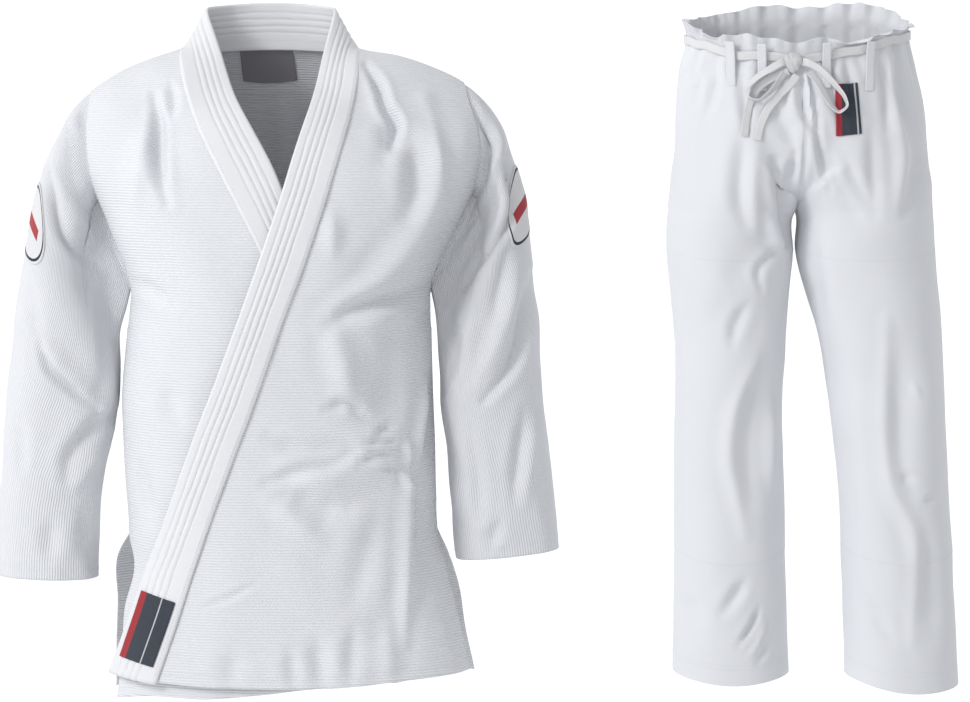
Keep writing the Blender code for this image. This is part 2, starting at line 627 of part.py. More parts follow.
# Waist: gathered cloth above the legs, front and back, pinched by the tape
CORD_FRONT = [(530, 8), (554, 1), (583, -9), (630, -13), (674, -17), (706, -13), (759, -2), (800, 8), (826, 14)]
CORD_BACK = [(530, 8), (560, 16), (600, 24), (678, 30), (760, 30), (800, 24), (826, 14)]
TOP_FRONT = [(530, 34), (564, 12), (593, 15), (644, 8), (675, 4), (700, 11), (738, 2), (776, 14), (826, 28)]
TOP_BACK = [(530, 34), (567, 40), (598, 45), (640, 54), (692, 51), (784, 54), (810, 44), (826, 28)]
WAVES = 12           # ruffle waves over the front, and as many over the back


def waist(a, z, out, front):
    """Point of the waist at turn a (0..pi across the width), height z, moved out."""
    left, right = by_height(HIP_RIGHT, z), by_height(HIP_LEFT, z)
    mid, half = (left + right) / 2, (right - left) / 2
    c = np.cos(a)
    deep = by_height(LEG_DEPTH_FRONT if front else LEG_DEPTH_BACK, z)
    y = SEAM + deep * (1 - np.abs(c) ** 2.3) ** (1 / 2.05)
    normal = np.stack([-c * deep, np.sin(a) * half], axis=-1)
    normal /= np.linalg.norm(normal, axis=-1, keepdims=True)
    x = mid - half * c + normal[..., 0] * out
    y = y + normal[..., 1] * out
    return np.stack([x, -y if front else y, z + 0 * x], axis=-1)


def cord_height(a, front):
    table = CORD_FRONT if front else CORD_BACK
    return curve([r[0] for r in table], [r[1] for r in table], 678 - 147 * np.cos(a))


def build_waist(name, front):
    cols = 4 * WAVES + 1
    a = np.linspace(0, math.pi, cols)
    table = TOP_FRONT if front else TOP_BACK
    top = curve([r[0] for r in table], [r[1] for r in table], 678 - 147 * np.cos(a))
    cord = cord_height(a, front)
    seed = 0.0 if front else 1.7
    wave = np.sin(2 * WAVES * a) * (0.75 + 0.25 * np.sin(3.1 * a + seed)) + 0.2 * np.sin(7 * a + seed)
    wave = wave * smooth(0, 0.12, a) * smooth(0, 0.12, math.pi - a)
    levels = [  # height, moved out, wave
        (0 * a - 49.4, 0.0, 0.0), ((cord - 60) / 2, -0.5, 1.6), (cord - 11, -3.4, 1.5), (cord, -4.0, 0.7),
        (cord + 10, -3.0, 1.8), (top, 2.0, 5.2)]
    p = np.stack([waist(a, z, out + amp * wave, front) for z, out, amp in levels])
    n = normals(p)
    if (n[1, cols // 2, 1] > 0) == front:
        n = -n
    cut_square(n, (slice(None), 0), default=(-1.0, 0.0, 0.0))
    cut_square(n, (slice(None), -1), default=(1.0, 0.0, 0.0))
    cut_square(n, (0, slice(None)), axis=2)
    return shell(name, p, n, -TROUSER_CLOTH / 2, TROUSER_CLOTH / 2, WHITE_TWILL)


build_waist("waist_front", True)
build_waist("waist_back", False)


def ribbon(name, centre, across, width, thick, mat):
    """Flat tape along centre points, its width along the across directions."""
    centre, across = np.asarray(centre, float), np.asarray(across, float)
    across = across / np.linalg.norm(across, axis=1, keepdims=True)
    along = np.gradient(centre, axis=0)
    n = np.cross(along, across)
    n /= np.linalg.norm(n, axis=1, keepdims=True)
    across = np.cross(n, along)
    across /= np.linalg.norm(across, axis=1, keepdims=True)
    p = np.stack([centre - across * width / 2, centre + across * width / 2], axis=1)
    return shell(name, p, np.repeat(n[:, None], 2, axis=1), -thick / 2, thick / 2, mat)


def build_tape():
    """Drawstring round the waist, open in front where it is knotted."""
    gap = 0.02
    mid = math.acos((678 - 666) / 147)
    front_b = np.linspace(mid + gap, math.pi, 14)
    back = np.linspace(math.pi, 0, 30)[1:-1]
    front_a = np.linspace(0, mid - gap, 14)
    pts, low = [], []
    for turns, front in ((front_b, True), (back, False), (front_a, True)):
        z = cord_height(turns, front)
        pts.append(waist(turns, z, -0.4, front))
    centre = np.concatenate(pts)
    up = np.tile([0.0, 0.0, 1.0], (len(centre), 1))
    ribbon("drawstring", centre, up, 10.0, 1.4, TAPE)


build_tape()


def front_point(x, z, out):
    """Point in front of the trousers at (x, z), moved out of the cloth."""
    xz = np.array([[x, z]], float)
    right = x < RISE_X
    p = (leg(xz, True, True) + leg(xz, False, True)) / 2 if abs(x - RISE_X) < 30 else leg(xz, right, True)
    return p[0] + np.array([0, -out, 0])


def build_belt_loop(name, x, top, foot, front=True, foot_out=1.7):
    zs = np.linspace(top, foot, 7)
    outs = [7.4, 5.6, 4.2, 3.6, 3.4, 2.6, foot_out]
    rows = []
    for z, out in zip(zs, outs):
        line_pts = []
        for dx in (-5.0, 0.0, 5.0):
            q = front_point(x + dx, z, 0.0) if front else None
            if q is None:
                d = SEAM + trouser_depth(np.array(x + dx), np.array(z), x < RISE_X, False)
                q = np.array([x + dx, float(d), z])
            line_pts.append(q)
        line_pts = np.array(line_pts)
        across = line_pts[2] - line_pts[0]
        n = np.array([across[1], -across[0], 0.0])
        n /= np.linalg.norm(n)
        if (n[1] > 0) == front:
            n = -n
        rows.append(line_pts + n * out)
    p = np.array(rows)
    n = normals(p)
    if (n[3, 1, 1] > 0) == front:
        n = -n
    shell(name, p, n, -0.7, 0.7, WHITE_TWILL)


for k, (x, top, foot) in enumerate(((590, 5, -50), (628, 2, -56), (708, 3, -52), (763, 5, -56))):
    build_belt_loop("belt_loop_front_%d" % (k + 1), x, top, foot)
for k, (x, foot_out) in enumerate(((610, 1.7), (746, 0.7))):
    build_belt_loop("belt_loop_back_%d" % (k + 1), x, 44, -14, front=False, foot_out=foot_out)

# Bow: knot, two loops and two tails: x, z, moved out, tilt of the tape to the front (degrees)
BOW = {
    "bow_loop_right": [(654.4, -20, 6.6, 10), (647, -23, 10.5, 30), (638, -28, 12, 30), (626, -35, 13, 40),
                       (614, -45, 13, 55), (607, -56, 13, 75), (611, -65, 13, 80), (620, -68, 12.5, 75),
                       (632, -62, 12, 60), (643, -50, 11.5, 45), (650, -40, 11.5, 30), (654, -34, 11.5, 25)],
    "bow_loop_left": [(677.7, -20, 6.6, 10), (685, -22, 11, 30), (695, -27, 12, 35), (707, -37, 12, 45),
                      (720, -51, 11, 55), (731, -66, 10, 70), (733, -76, 9, 80), (726, -82, 8, 75),
                      (716, -77, 8, 55), (706, -62, 8, 40), (696, -45, 7.5, 35), (686, -33, 6.5, 35)],
    "bow_tail_right": [(659.3, -31.6, 6.4, 5), (651, -35, 6.4, 5), (640, -40, 6.5, 5), (624, -51, 6.6, 5),
                       (613, -68, 6, 5), (608, -88, 4.4, 5), (605, -113, 4, 5)],
    "bow_tail_left": [(670.5, -37.0, 5.0, 5), (664, -46, 4.4, 5), (648, -62, 4.4, 5), (634, -80, 4.2, 5),
                      (626, -98, 4, 5), (621, -118, 4, 5)],
}
for name, rows in BOW.items():
    steps = np.linspace(0, 1, 20 if "loop" in name else 10)
    smooth_rows = path(rows, steps)
    centre = np.array([front_point(r[0], r[1], r[2]) for r in smooth_rows])
    flat = np.gradient(smooth_rows[:, :2], axis=0)
    flat /= np.linalg.norm(flat, axis=1, keepdims=True)
    tilt = np.radians(smooth_rows[:, 3])
    across = np.stack([-flat[:, 1] * np.cos(tilt), -np.sin(tilt), flat[:, 0] * np.cos(tilt)], axis=1)
    ribbon(name, centre, across, 9.0, 1.2, TAPE)


def build_knot():
    bpy.ops.mesh.primitive_uv_sphere_add(segments=12, ring_count=7, radius=1.0)
    knot = bpy.context.object
    knot.name = "bow_knot"
    centre = front_point(666, -20, 6.3)
    for v in knot.data.vertices:
        lump = 1 + 0.10 * math.sin(3 * math.atan2(v.co.z, v.co.x)) * (1 - v.co.y ** 2)
        v.co.x, v.co.y, v.co.z = [(centre[k] + size * lump * v.co[k]) * MM for k, size in enumerate((11, 5.6, 13))]
    knot.data.materials.clear()
    knot.data.materials.append(TAPE)


build_knot()


def on_trousers(xz):
    d = SEAM + trouser_depth(xz[..., 0], xz[..., 1], False, True)
    p = np.stack([xz[..., 0], -d, xz[..., 1]], axis=-1)
    n = normals(p)
    return p, -n if n[2, 2, 1] > 0 else n


patch("trouser_patch", ((720, -49), (747, -47), (752, -110), (721, -113)), on_trousers, 1.7, 2.5, SLATE)


def build_shoulder_patch(name, sleeve, row, col, radius=47.5, size=8):
    """Round patch laid on the outside of a sleeve."""
    p, n = sleeve
    cols = p.shape[1] - 1
    i0, j0 = int(row), int(col)
    row_len = np.linalg.norm(p[i0 + 2, j0 % cols] - p[i0 - 2, j0 % cols]) / 4
    col_len = np.linalg.norm(p[i0, (j0 + 1) % cols] - p[i0, (j0 - 1) % cols]) / 2
    k = np.linspace(-1, 1, size)
    u, v = np.meshgrid(k, k)
    x = u * np.sqrt(1 - v * v / 2) * radius / col_len + col
    y = v * np.sqrt(1 - u * u / 2) * radius / row_len + row
    i, j = np.floor(y).astype(int), np.floor(x).astype(int)
    fy, fx = (y - i)[..., None], (x - j)[..., None]

    def at(grid):
        return ((1 - fy) * ((1 - fx) * grid[i, j % cols] + fx * grid[i, (j + 1) % cols])
                + fy * ((1 - fx) * grid[i + 1, j % cols] + fx * grid[i + 1, (j + 1) % cols]))
    q, m = at(p), at(n)
    m /= np.linalg.norm(m, axis=2, keepdims=True)
    shell(name, q, m, 3.0, 3.8, WHITE)


build_shoulder_patch("shoulder_patch_right", SLEEVE_RIGHT, 4.8, 1.0)
build_shoulder_patch("shoulder_patch_left", SLEEVE_LEFT, 4.6, 1.0)
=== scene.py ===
import math

import bmesh
import bpy
import numpy as np
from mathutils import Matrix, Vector


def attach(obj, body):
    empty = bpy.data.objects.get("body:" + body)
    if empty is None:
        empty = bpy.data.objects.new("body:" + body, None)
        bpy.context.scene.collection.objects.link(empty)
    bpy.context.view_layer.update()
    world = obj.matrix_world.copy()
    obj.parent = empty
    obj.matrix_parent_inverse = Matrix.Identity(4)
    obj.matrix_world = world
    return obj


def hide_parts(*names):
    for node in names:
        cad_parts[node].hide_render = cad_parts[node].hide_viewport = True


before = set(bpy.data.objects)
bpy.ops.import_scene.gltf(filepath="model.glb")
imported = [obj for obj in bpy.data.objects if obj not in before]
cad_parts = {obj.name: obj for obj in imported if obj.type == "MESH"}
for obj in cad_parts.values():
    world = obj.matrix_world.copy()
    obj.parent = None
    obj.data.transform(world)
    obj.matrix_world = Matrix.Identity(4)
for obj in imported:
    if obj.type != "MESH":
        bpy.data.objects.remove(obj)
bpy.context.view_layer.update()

# Jiu-jitsu uniform, jacket and trousers filled out side by side.  Lengths below
# are millimetres in the frame of the solids, turned to metres when a mesh is made.
MM = 0.001
JACKET_CLOTH = 2.0
BAND_CLOTH = 4.4
TROUSER_CLOTH = 1.4
JACKET_DEPTH = 1.7      # how much deeper the creases are made than read, so that they show in soft light
SLEEVE_FOLD_DEPTH = 1.4
TROUSER_DEPTH = 1.5

# Camera
TARGET = Vector((0.278, 0.0, -0.394))
DISTANCE = 4.2
ELEVATION = math.radians(5)
camera = bpy.data.objects.new("camera", bpy.data.cameras.new("camera"))
camera.data.lens = 120
camera.data.sensor_width = 36
camera.location = TARGET + Vector((0, -DISTANCE * math.cos(ELEVATION), DISTANCE * math.sin(ELEVATION)))
camera.rotation_euler = (math.radians(90) - ELEVATION, 0, 0)
bpy.context.scene.collection.objects.link(camera)
bpy.context.scene.camera = camera
bpy.context.scene.view_settings.view_transform = "Standard"


# Number helpers
def smooth(edge0, edge1, x):
    t = np.clip((x - edge0) / (edge1 - edge0), 0.0, 1.0)
    return t * t * (3 - 2 * t)


def curve(xs, ys, x):
    """Smooth curve through (xs, ys), xs rising."""
    xs = np.asarray(xs, float)
    ys = np.asarray(ys, float)
    slope = np.gradient(ys, xs)
    x = np.clip(np.asarray(x, float), xs[0], xs[-1])
    i = np.clip(np.searchsorted(xs, x, side="right") - 1, 0, len(xs) - 2)
    h = xs[i + 1] - xs[i]
    t = (x - xs[i]) / h
    return ((2 * t**3 - 3 * t**2 + 1) * ys[i] + (t**3 - 2 * t**2 + t) * h * slope[i]
            + (3 * t**2 - 2 * t**3) * ys[i + 1] + (t**3 - t**2) * h * slope[i + 1])


def path(points, t):
    """Point at share t of the length of a smooth line through points."""
    pts = np.asarray(points, float)
    run = np.concatenate([[0], np.cumsum(np.linalg.norm(np.diff(pts, axis=0), axis=1))])
    t = np.asarray(t, float) * run[-1]
    return np.stack([curve(run, pts[:, k], t) for k in range(pts.shape[1])], axis=-1)


def by_height(table, z):
    rows = table[::-1]
    return curve([r[0] for r in rows], [r[1] for r in rows], z)


def line(points):
    return lambda t: path(points, t)


def joined(*parts):
    """One line through several, with the corners kept."""
    sizes = [np.linalg.norm(np.diff(np.asarray(p, float), axis=0), axis=1).sum() for p in parts]
    ends = np.cumsum(sizes) / sum(sizes)

    def at(t):
        t = np.asarray(t, float)
        out = np.zeros((len(t), 2))
        start = 0.0
        for part, end in zip(parts, ends):
            inside = (t >= start - 1e-9) & (t <= end + 1e-9)
            out[inside] = path(part, np.clip((t[inside] - start) / (end - start), 0, 1))
            start = end
        return out
    return at, list(ends)


def split_rows(counts, ends, first=1.0):
    """Row shares with whole numbers of rows between the corners."""
    out, start = [], 0.0
    for k, (count, end) in enumerate(zip(counts, ends)):
        share = np.linspace(0, 1, count + 1)
        if k == 0:
            share = share ** first
        out += list(start + (end - start) * share[(0 if k == 0 else 1):])
        start = end
    return np.array(out)


def coons(top, bottom, left, right, us, vs):
    """Flat grid between four edge lines, each a function of 0..1."""
    u = np.asarray(us)[None, :, None]
    v = np.asarray(vs)[:, None, None]
    t, b = top(np.asarray(us))[None], bottom(np.asarray(us))[None]
    lf, r = left(np.asarray(vs))[:, None], right(np.asarray(vs))[:, None]
    c00, c10 = top(np.array([0.0]))[0], top(np.array([1.0]))[0]
    c01, c11 = bottom(np.array([0.0]))[0], bottom(np.array([1.0]))[0]
    return ((1 - v) * t + v * b + (1 - u) * lf + u * r
            - (1 - u) * (1 - v) * c00 - u * (1 - v) * c10 - (1 - u) * v * c01 - u * v * c11)


def rounded(n, both=False):
    """Shares 0..1, crowded at 1, or at both ends."""
    k = np.linspace(0, 1, n)
    if both:
        return (1 - np.cos(math.pi * k)) / 2
    return np.sin(math.pi / 2 * k)


def unit(v):
    return v / np.maximum(np.linalg.norm(v, axis=-1, keepdims=True), 1e-9)


def normals(p, wrap=False):
    if wrap:
        q = np.concatenate([p[:, -2:-1], p, p[:, 1:2]], axis=1)
        du = q[:, 2:] - q[:, :-2]
    else:
        du = np.gradient(p, axis=1)
    return unit(np.cross(du, np.gradient(p, axis=0)))


def ripple(x, z, size, seed):
    """Slow uneven waves, about -1..1."""
    rng = np.random.default_rng(seed)
    out = np.zeros_like(x)
    for _ in range(7):
        turn = rng.uniform(0, 2 * math.pi)
        pitch = size * rng.uniform(0.7, 1.6)
        out += np.sin((x * math.cos(turn) + z * math.sin(turn)) * 2 * math.pi / pitch + rng.uniform(0, 6.3))
    return out / 3.5


def creases(table, x, z):
    """Height added by creases: (half width, depth, points (x, z)), ridges with a depth below 0."""
    out = np.zeros_like(x)
    for width, depth, points in table:
        pts = path(points, np.linspace(0, 1, 5 * len(points)))
        run = np.concatenate([[0], np.cumsum(np.linalg.norm(np.diff(pts, axis=0), axis=1))])
        near = (x > pts[:, 0].min() - 4 * width) & (x < pts[:, 0].max() + 4 * width)
        near &= (z > pts[:, 1].min() - 4 * width) & (z < pts[:, 1].max() + 4 * width)
        if not near.any():
            continue
        px, pz = x[near], z[near]
        best, share = np.full(px.shape, 1e9), np.zeros(px.shape)
        for k in range(len(pts) - 1):
            dx, dz = pts[k + 1] - pts[k]
            size = max(dx * dx + dz * dz, 1e-9)
            t = np.clip(((px - pts[k, 0]) * dx + (pz - pts[k, 1]) * dz) / size, 0, 1)
            away = np.hypot(px - pts[k, 0] - t * dx, pz - pts[k, 1] - t * dz)
            closer = away < best
            best = np.where(closer, away, best)
            share = np.where(closer, (run[k] + t * math.sqrt(size)) / run[-1], share)
        fade = 0.3 + 0.7 * smooth(0, 0.3, share) * smooth(1, 0.65, share)
        wide = width * (0.65 + 0.35 * fade)
        profile = np.exp(-(best / wide) ** 2) - 0.22 * np.exp(-((best - 2.1 * wide) / wide) ** 2)
        out[near] -= depth * fade * profile
    return out


# Meshes
def surface_mesh(name, outer, inner, uv, mat, wrap=False, lip=0.5):
    """Closed cloth between two grids of points, with rounded rims."""
    rows, cols = outer.shape[:2]
    real = cols - 1 if wrap else cols
    half = rows * real
    i, j = np.mgrid[0:rows - 1, 0:cols - 1]
    i, j = i.ravel(), j.ravel()

    def vert(a, b):
        return a * real + b % real

    quads = [np.stack([vert(i, j), vert(i + 1, j), vert(i + 1, j + 1), vert(i, j + 1)], 1)]
    quads.append(np.stack([vert(i, j), vert(i, j + 1), vert(i + 1, j + 1), vert(i + 1, j)], 1) + half)
    marks = [np.stack([uv[i, j], uv[i + 1, j], uv[i + 1, j + 1], uv[i, j + 1]], 1)]
    marks.append(np.stack([uv[i, j], uv[i, j + 1], uv[i + 1, j + 1], uv[i + 1, j]], 1))
    if wrap:
        k = np.arange(cols)
        loops = [(0 * k, k), (0 * k + rows - 1, k)]
    else:
        a = np.concatenate([np.zeros(cols), np.arange(1, rows), np.full(cols - 1, rows - 1),
                            np.arange(rows - 2, -1, -1)]).astype(int)
        b = np.concatenate([np.arange(cols), np.full(rows - 1, cols - 1), np.arange(cols - 2, -1, -1),
                            np.zeros(rows - 1)]).astype(int)
        loops = [(a, b)]
    middle = (outer + inner) / 2
    verts = [outer[:, :real].reshape(-1, 3), inner[:, :real].reshape(-1, 3)]
    start = 2 * half
    for a, b in loops:
        out = np.zeros((len(a), 3))
        for edge, back in (((a == 0), (1, 0)), ((a == rows - 1), (-1, 0))):
            out += np.where(edge[:, None], unit(middle[a, b] - middle[(a + back[0]) % rows, b]), 0)
        if not wrap:
            for edge, back in (((b == 0), 1), ((b == cols - 1), -1)):
                out += np.where(edge[:, None], unit(middle[a, b] - middle[a, (b + back) % cols]), 0)
        thick = np.linalg.norm(outer[a, b] - inner[a, b], axis=1, keepdims=True)
        verts.append((middle[a, b] + unit(out) * thick * lip)[:-1])
        count = len(a) - 1
        rim = start + np.arange(count + 1) % count
        start += count
        top, low = vert(a, b), vert(a, b) + half
        for edge in ((top[:-1], top[1:], rim[1:], rim[:-1]), (rim[:-1], rim[1:], low[1:], low[:-1])):
            quads.append(np.stack(edge, 1))
            marks.append(np.stack([uv[a[:-1], b[:-1]], uv[a[1:], b[1:]], uv[a[1:], b[1:]], uv[a[:-1], b[:-1]]], 1))
    quads = np.concatenate(quads)
    marks = np.concatenate(marks)
    mesh = bpy.data.meshes.new(name)
    mesh.from_pydata((np.concatenate(verts) * MM).tolist(), [], quads.tolist())
    layer = mesh.uv_layers.new(name="UVMap")
    layer.data.foreach_set("uv", (marks.reshape(-1, 2) * MM).astype(np.float32).ravel())
    made = bmesh.new()
    made.from_mesh(mesh)
    bmesh.ops.recalc_face_normals(made, faces=made.faces)
    made.to_mesh(mesh)
    made.free()
    mesh.shade_smooth()
    if lip < 0.1:
        mesh.set_sharp_from_angle(angle=math.radians(60))
    mesh.materials.append(mat)
    obj = bpy.data.objects.new(name, mesh)
    bpy.context.scene.collection.objects.link(obj)
    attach(obj, "root")
    return obj


def grid_uv(p):
    """Flat coordinates of a grid, from its own lengths."""
    du = np.linalg.norm(np.diff(p, axis=1), axis=2)
    dv = np.linalg.norm(np.diff(p, axis=0), axis=2)
    u = np.concatenate([np.zeros((p.shape[0], 1)), np.cumsum(du, axis=1)], axis=1)
    v = np.concatenate([np.zeros((1, p.shape[1])), np.cumsum(dv, axis=0)], axis=0)
    return np.stack([u - u.mean(axis=1, keepdims=True), -v], axis=2)


def cloth(node, p, n, low, high, uv, mat, wrap=False, lip=0.5):
    low = np.broadcast_to(np.asarray(low, float), p.shape[:2])[..., None]
    high = np.broadcast_to(np.asarray(high, float), p.shape[:2])[..., None]
    obj = surface_mesh(node + "_cloth", p + n * high, p + n * low, uv, mat, wrap, lip)
    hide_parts(node)
    return obj


def stitches(name, rows, mat, size=(2.8, 0.9, 0.5), gap=1.3):
    """Rows of raised stitches; a row is (points, normals) along a line."""
    long, wide, tall = size
    verts, faces = [], []
    for pts, nrm in rows:
        run = np.concatenate([[0], np.cumsum(np.linalg.norm(np.diff(pts, axis=0), axis=1))])
        count = int(run[-1] // (long + gap))
        if count < 1:
            continue
        mids = (np.arange(count) + 0.5) * run[-1] / count
        ends = [np.stack([np.interp(mids + s * long / 2, run, pts[:, k]) for k in range(3)], 1) for s in (-1, 1)]
        up = unit(np.stack([np.interp(mids, run, nrm[:, k]) for k in range(3)], 1))
        mid = (ends[0] + ends[1]) / 2
        side = unit(np.cross(ends[1] - ends[0], up))
        shape = [ends[0] - up * 0.1, ends[1] - up * 0.1, mid + side * wide / 2, mid - side * wide / 2,
                 mid + up * tall, mid - up * 0.3]
        base = len(verts) * 6
        block = np.stack(shape, 1)
        base = sum(len(v) for v in verts)
        verts.append(block.reshape(-1, 3))
        tri = np.array([(0, 2, 4), (2, 1, 4), (1, 3, 4), (3, 0, 4), (2, 0, 5), (1, 2, 5), (3, 1, 5), (0, 3, 5)])
        faces.append((tri[None] + 6 * np.arange(count)[:, None, None] + base).reshape(-1, 3))
    mesh = bpy.data.meshes.new(name)
    mesh.from_pydata((np.concatenate(verts) * MM).tolist(), [], np.concatenate(faces).tolist())
    made = bmesh.new()
    made.from_mesh(mesh)
    bmesh.ops.recalc_face_normals(made, faces=made.faces)
    made.to_mesh(mesh)
    made.free()
    mesh.shade_smooth()
    mesh.materials.append(mat)
    obj = bpy.data.objects.new(name, mesh)
    bpy.context.scene.collection.objects.link(obj)
    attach(obj, "root")
    return obj


# Materials
class Nodes:
    """Small helper that adds and links shader nodes."""

    def __init__(self, name):
        self.mat = bpy.data.materials.new(name)
        self.mat.use_nodes = True
        self.tree = self.mat.node_tree
        self.shader = self.tree.nodes["Principled BSDF"]

    def add(self, kind, **inputs):
        node = self.tree.nodes.new(kind)
        for key, value in inputs.items():
            socket = node.inputs[int(key[1:])] if key[0] == "i" and key[1:].isdigit() else node.inputs[key]
            if isinstance(value, bpy.types.NodeSocket):
                self.tree.links.new(value, socket)
            else:
                socket.default_value = value
        return node

    def math(self, operation, a, b=None):
        node = self.add("ShaderNodeMath", i0=a) if b is None else self.add("ShaderNodeMath", i0=a, i1=b)
        node.operation = operation
        return node.outputs[0]

    def blend(self, share, dark, light):
        node = self.add("ShaderNodeMix")
        node.data_type = "RGBA"
        for socket, value in ((node.inputs[0], share), (node.inputs[6], dark), (node.inputs[7], light)):
            if isinstance(value, bpy.types.NodeSocket):
                self.tree.links.new(value, socket)
            elif isinstance(value, tuple):
                socket.default_value = (*value, 1.0)
            else:
                socket.default_value = value
        return node.outputs[2]

    def finish(self, colour, height, depth, rough, sheen, specular=0.25):
        self.tree.links.new(colour, self.shader.inputs["Base Color"])
        bump = self.add("ShaderNodeBump", Height=height, Distance=depth, Strength=1.0)
        self.tree.links.new(bump.outputs[0], self.shader.inputs["Normal"])
        self.shader.inputs["Roughness"].default_value = rough
        self.shader.inputs["Sheen Weight"].default_value = sheen
        self.shader.inputs["Sheen Roughness"].default_value = 0.45
        self.shader.inputs["Specular IOR Level"].default_value = specular
        return self.mat


def weave(name, colour, pitch, grain, across, depth, shade, rough=0.88, sheen=0.15, fine=900.0):
    """Ribbed cloth: ribs of one pitch, each broken into grains that sit between those of the next rib, with painted
    shade in the rib valleys.
    """
    n = Nodes(name)
    mark = n.add("ShaderNodeUVMap")
    split = n.add("ShaderNodeSeparateXYZ", Vector=mark.outputs[0])
    a, b = (split.outputs[1], split.outputs[0]) if across else (split.outputs[0], split.outputs[1])
    wander = n.add("ShaderNodeTexNoise", Vector=mark.outputs[0], Scale=45.0, Detail=2.0)
    a = n.math("ADD", a, n.math("MULTIPLY", wander.outputs[0], pitch * 0.3))
    row = n.math("MULTIPLY", a, 1 / pitch)
    ribs = n.math("SINE", n.math("MULTIPLY", row, 2 * math.pi))
    ribs = n.math("ADD", n.math("MULTIPLY", ribs, 0.5), 0.5)
    step = n.math("MULTIPLY", n.math("FLOOR", n.math("ADD", row, 0.25)), math.pi)
    seeds = n.math("SINE", n.math("ADD", n.math("MULTIPLY", b, 2 * math.pi / grain), step))
    seeds = n.math("ADD", n.math("MULTIPLY", seeds, 0.08), 0.92)
    yarn = n.add("ShaderNodeTexNoise", Vector=mark.outputs[0], Scale=fine, Detail=2.0)
    height = n.math("ADD", n.math("MULTIPLY", ribs, seeds), n.math("MULTIPLY", yarn.outputs[0], 0.35))
    wide = n.add("ShaderNodeTexNoise", Vector=mark.outputs[0], Scale=9.0, Detail=3.0)
    # Painted shade: the colour is darkened by the share shade in the low parts of the ribs, where shade would fall,
    # on top of the bump.
    dark = tuple(c * (1 - shade) for c in colour)
    faded = tuple(c * 0.965 for c in colour)
    base = n.blend(wide.outputs[0], colour, faded)
    share = n.math("MINIMUM", n.math("ADD", height, 0.1), 1.0)
    return n.finish(n.blend(share, dark, base), height, depth, rough, sheen)


def twill(name, colour, pitch, depth, shade, rough=0.8, sheen=0.1, specular=0.3):
    """Fine slanting weave, with painted shade along its low lines."""
    n = Nodes(name)
    mark = n.add("ShaderNodeUVMap")
    split = n.add("ShaderNodeSeparateXYZ", Vector=mark.outputs[0])
    slant = n.math("ADD", split.outputs[0], n.math("MULTIPLY", split.outputs[1], 1.7))
    lines = n.math("SINE", n.math("MULTIPLY", slant, 2 * math.pi / pitch))
    lines = n.math("ADD", n.math("MULTIPLY", lines, 0.5), 0.5)
    yarn = n.add("ShaderNodeTexNoise", Vector=mark.outputs[0], Scale=1400.0, Detail=2.0)
    height = n.math("ADD", lines, n.math("MULTIPLY", yarn.outputs[0], 0.6))
    wide = n.add("ShaderNodeTexNoise", Vector=mark.outputs[0], Scale=7.0, Detail=3.0)
    # Painted shade: the colour is darkened by the share shade along the low lines of the weave, on top of the bump.
    dark = tuple(c * (1 - shade) for c in colour)
    faded = tuple(c * 0.97 for c in colour)
    base = n.blend(wide.outputs[0], colour, faded)
    share = n.math("MINIMUM", n.math("MULTIPLY", height, 0.9), 1.0)
    return n.finish(n.blend(share, dark, base), height, depth, rough, sheen, specular)


def patch_cloth(name, ground, band, split_at, thread, line_at):
    """Woven patch: a plain ground, a band along one side and one thin line."""
    n = Nodes(name)
    mark = n.add("ShaderNodeUVMap")
    split = n.add("ShaderNodeSeparateXYZ", Vector=mark.outputs[0])
    u, v = split.outputs[0], split.outputs[1]
    lines = n.math("SINE", n.math("MULTIPLY", n.math("ADD", u, v), 2 * math.pi / 0.0011))
    lines = n.math("ADD", n.math("MULTIPLY", lines, 0.5), 0.5)
    inside = n.math("LESS_THAN", u, split_at * MM)
    colour = n.blend(inside, ground, band)
    near = n.math("LESS_THAN", n.math("ABSOLUTE", n.math("SUBTRACT", u, line_at * MM)), 0.0009)
    colour = n.blend(near, colour, thread)
    colour = n.blend(n.math("MULTIPLY", lines, 0.25), colour, (0.03, 0.03, 0.035))
    return n.finish(colour, lines, 0.0002, 0.7, 0.1, 0.3)


def round_patch_cloth(name, ground, ring, bar):
    """Round patch: pale ground, dark ring, one plain bar."""
    n = Nodes(name)
    mark = n.add("ShaderNodeUVMap")
    split = n.add("ShaderNodeSeparateXYZ", Vector=mark.outputs[0])
    u, v = split.outputs[0], split.outputs[1]
    radius = n.math("SQRT", n.math("ADD", n.math("MULTIPLY", u, u), n.math("MULTIPLY", v, v)))
    lines = n.math("SINE", n.math("MULTIPLY", n.math("ADD", u, v), 2 * math.pi / 0.0012))
    lines = n.math("ADD", n.math("MULTIPLY", lines, 0.5), 0.5)
    on_bar = n.math("LESS_THAN", n.math("ABSOLUTE", v), 0.0075)
    on_bar = n.math("MULTIPLY", on_bar, n.math("LESS_THAN", n.math("ABSOLUTE", u), 0.026))
    colour = n.blend(on_bar, ground, bar)
    on_ring = n.math("LESS_THAN", n.math("ABSOLUTE", n.math("SUBTRACT", radius, 0.0415)), 0.0016)
    colour = n.blend(on_ring, colour, ring)
    colour = n.blend(n.math("MULTIPLY", lines, 0.12), colour, (0.25, 0.25, 0.27))
    return n.finish(colour, lines, 0.0002, 0.75, 0.1)


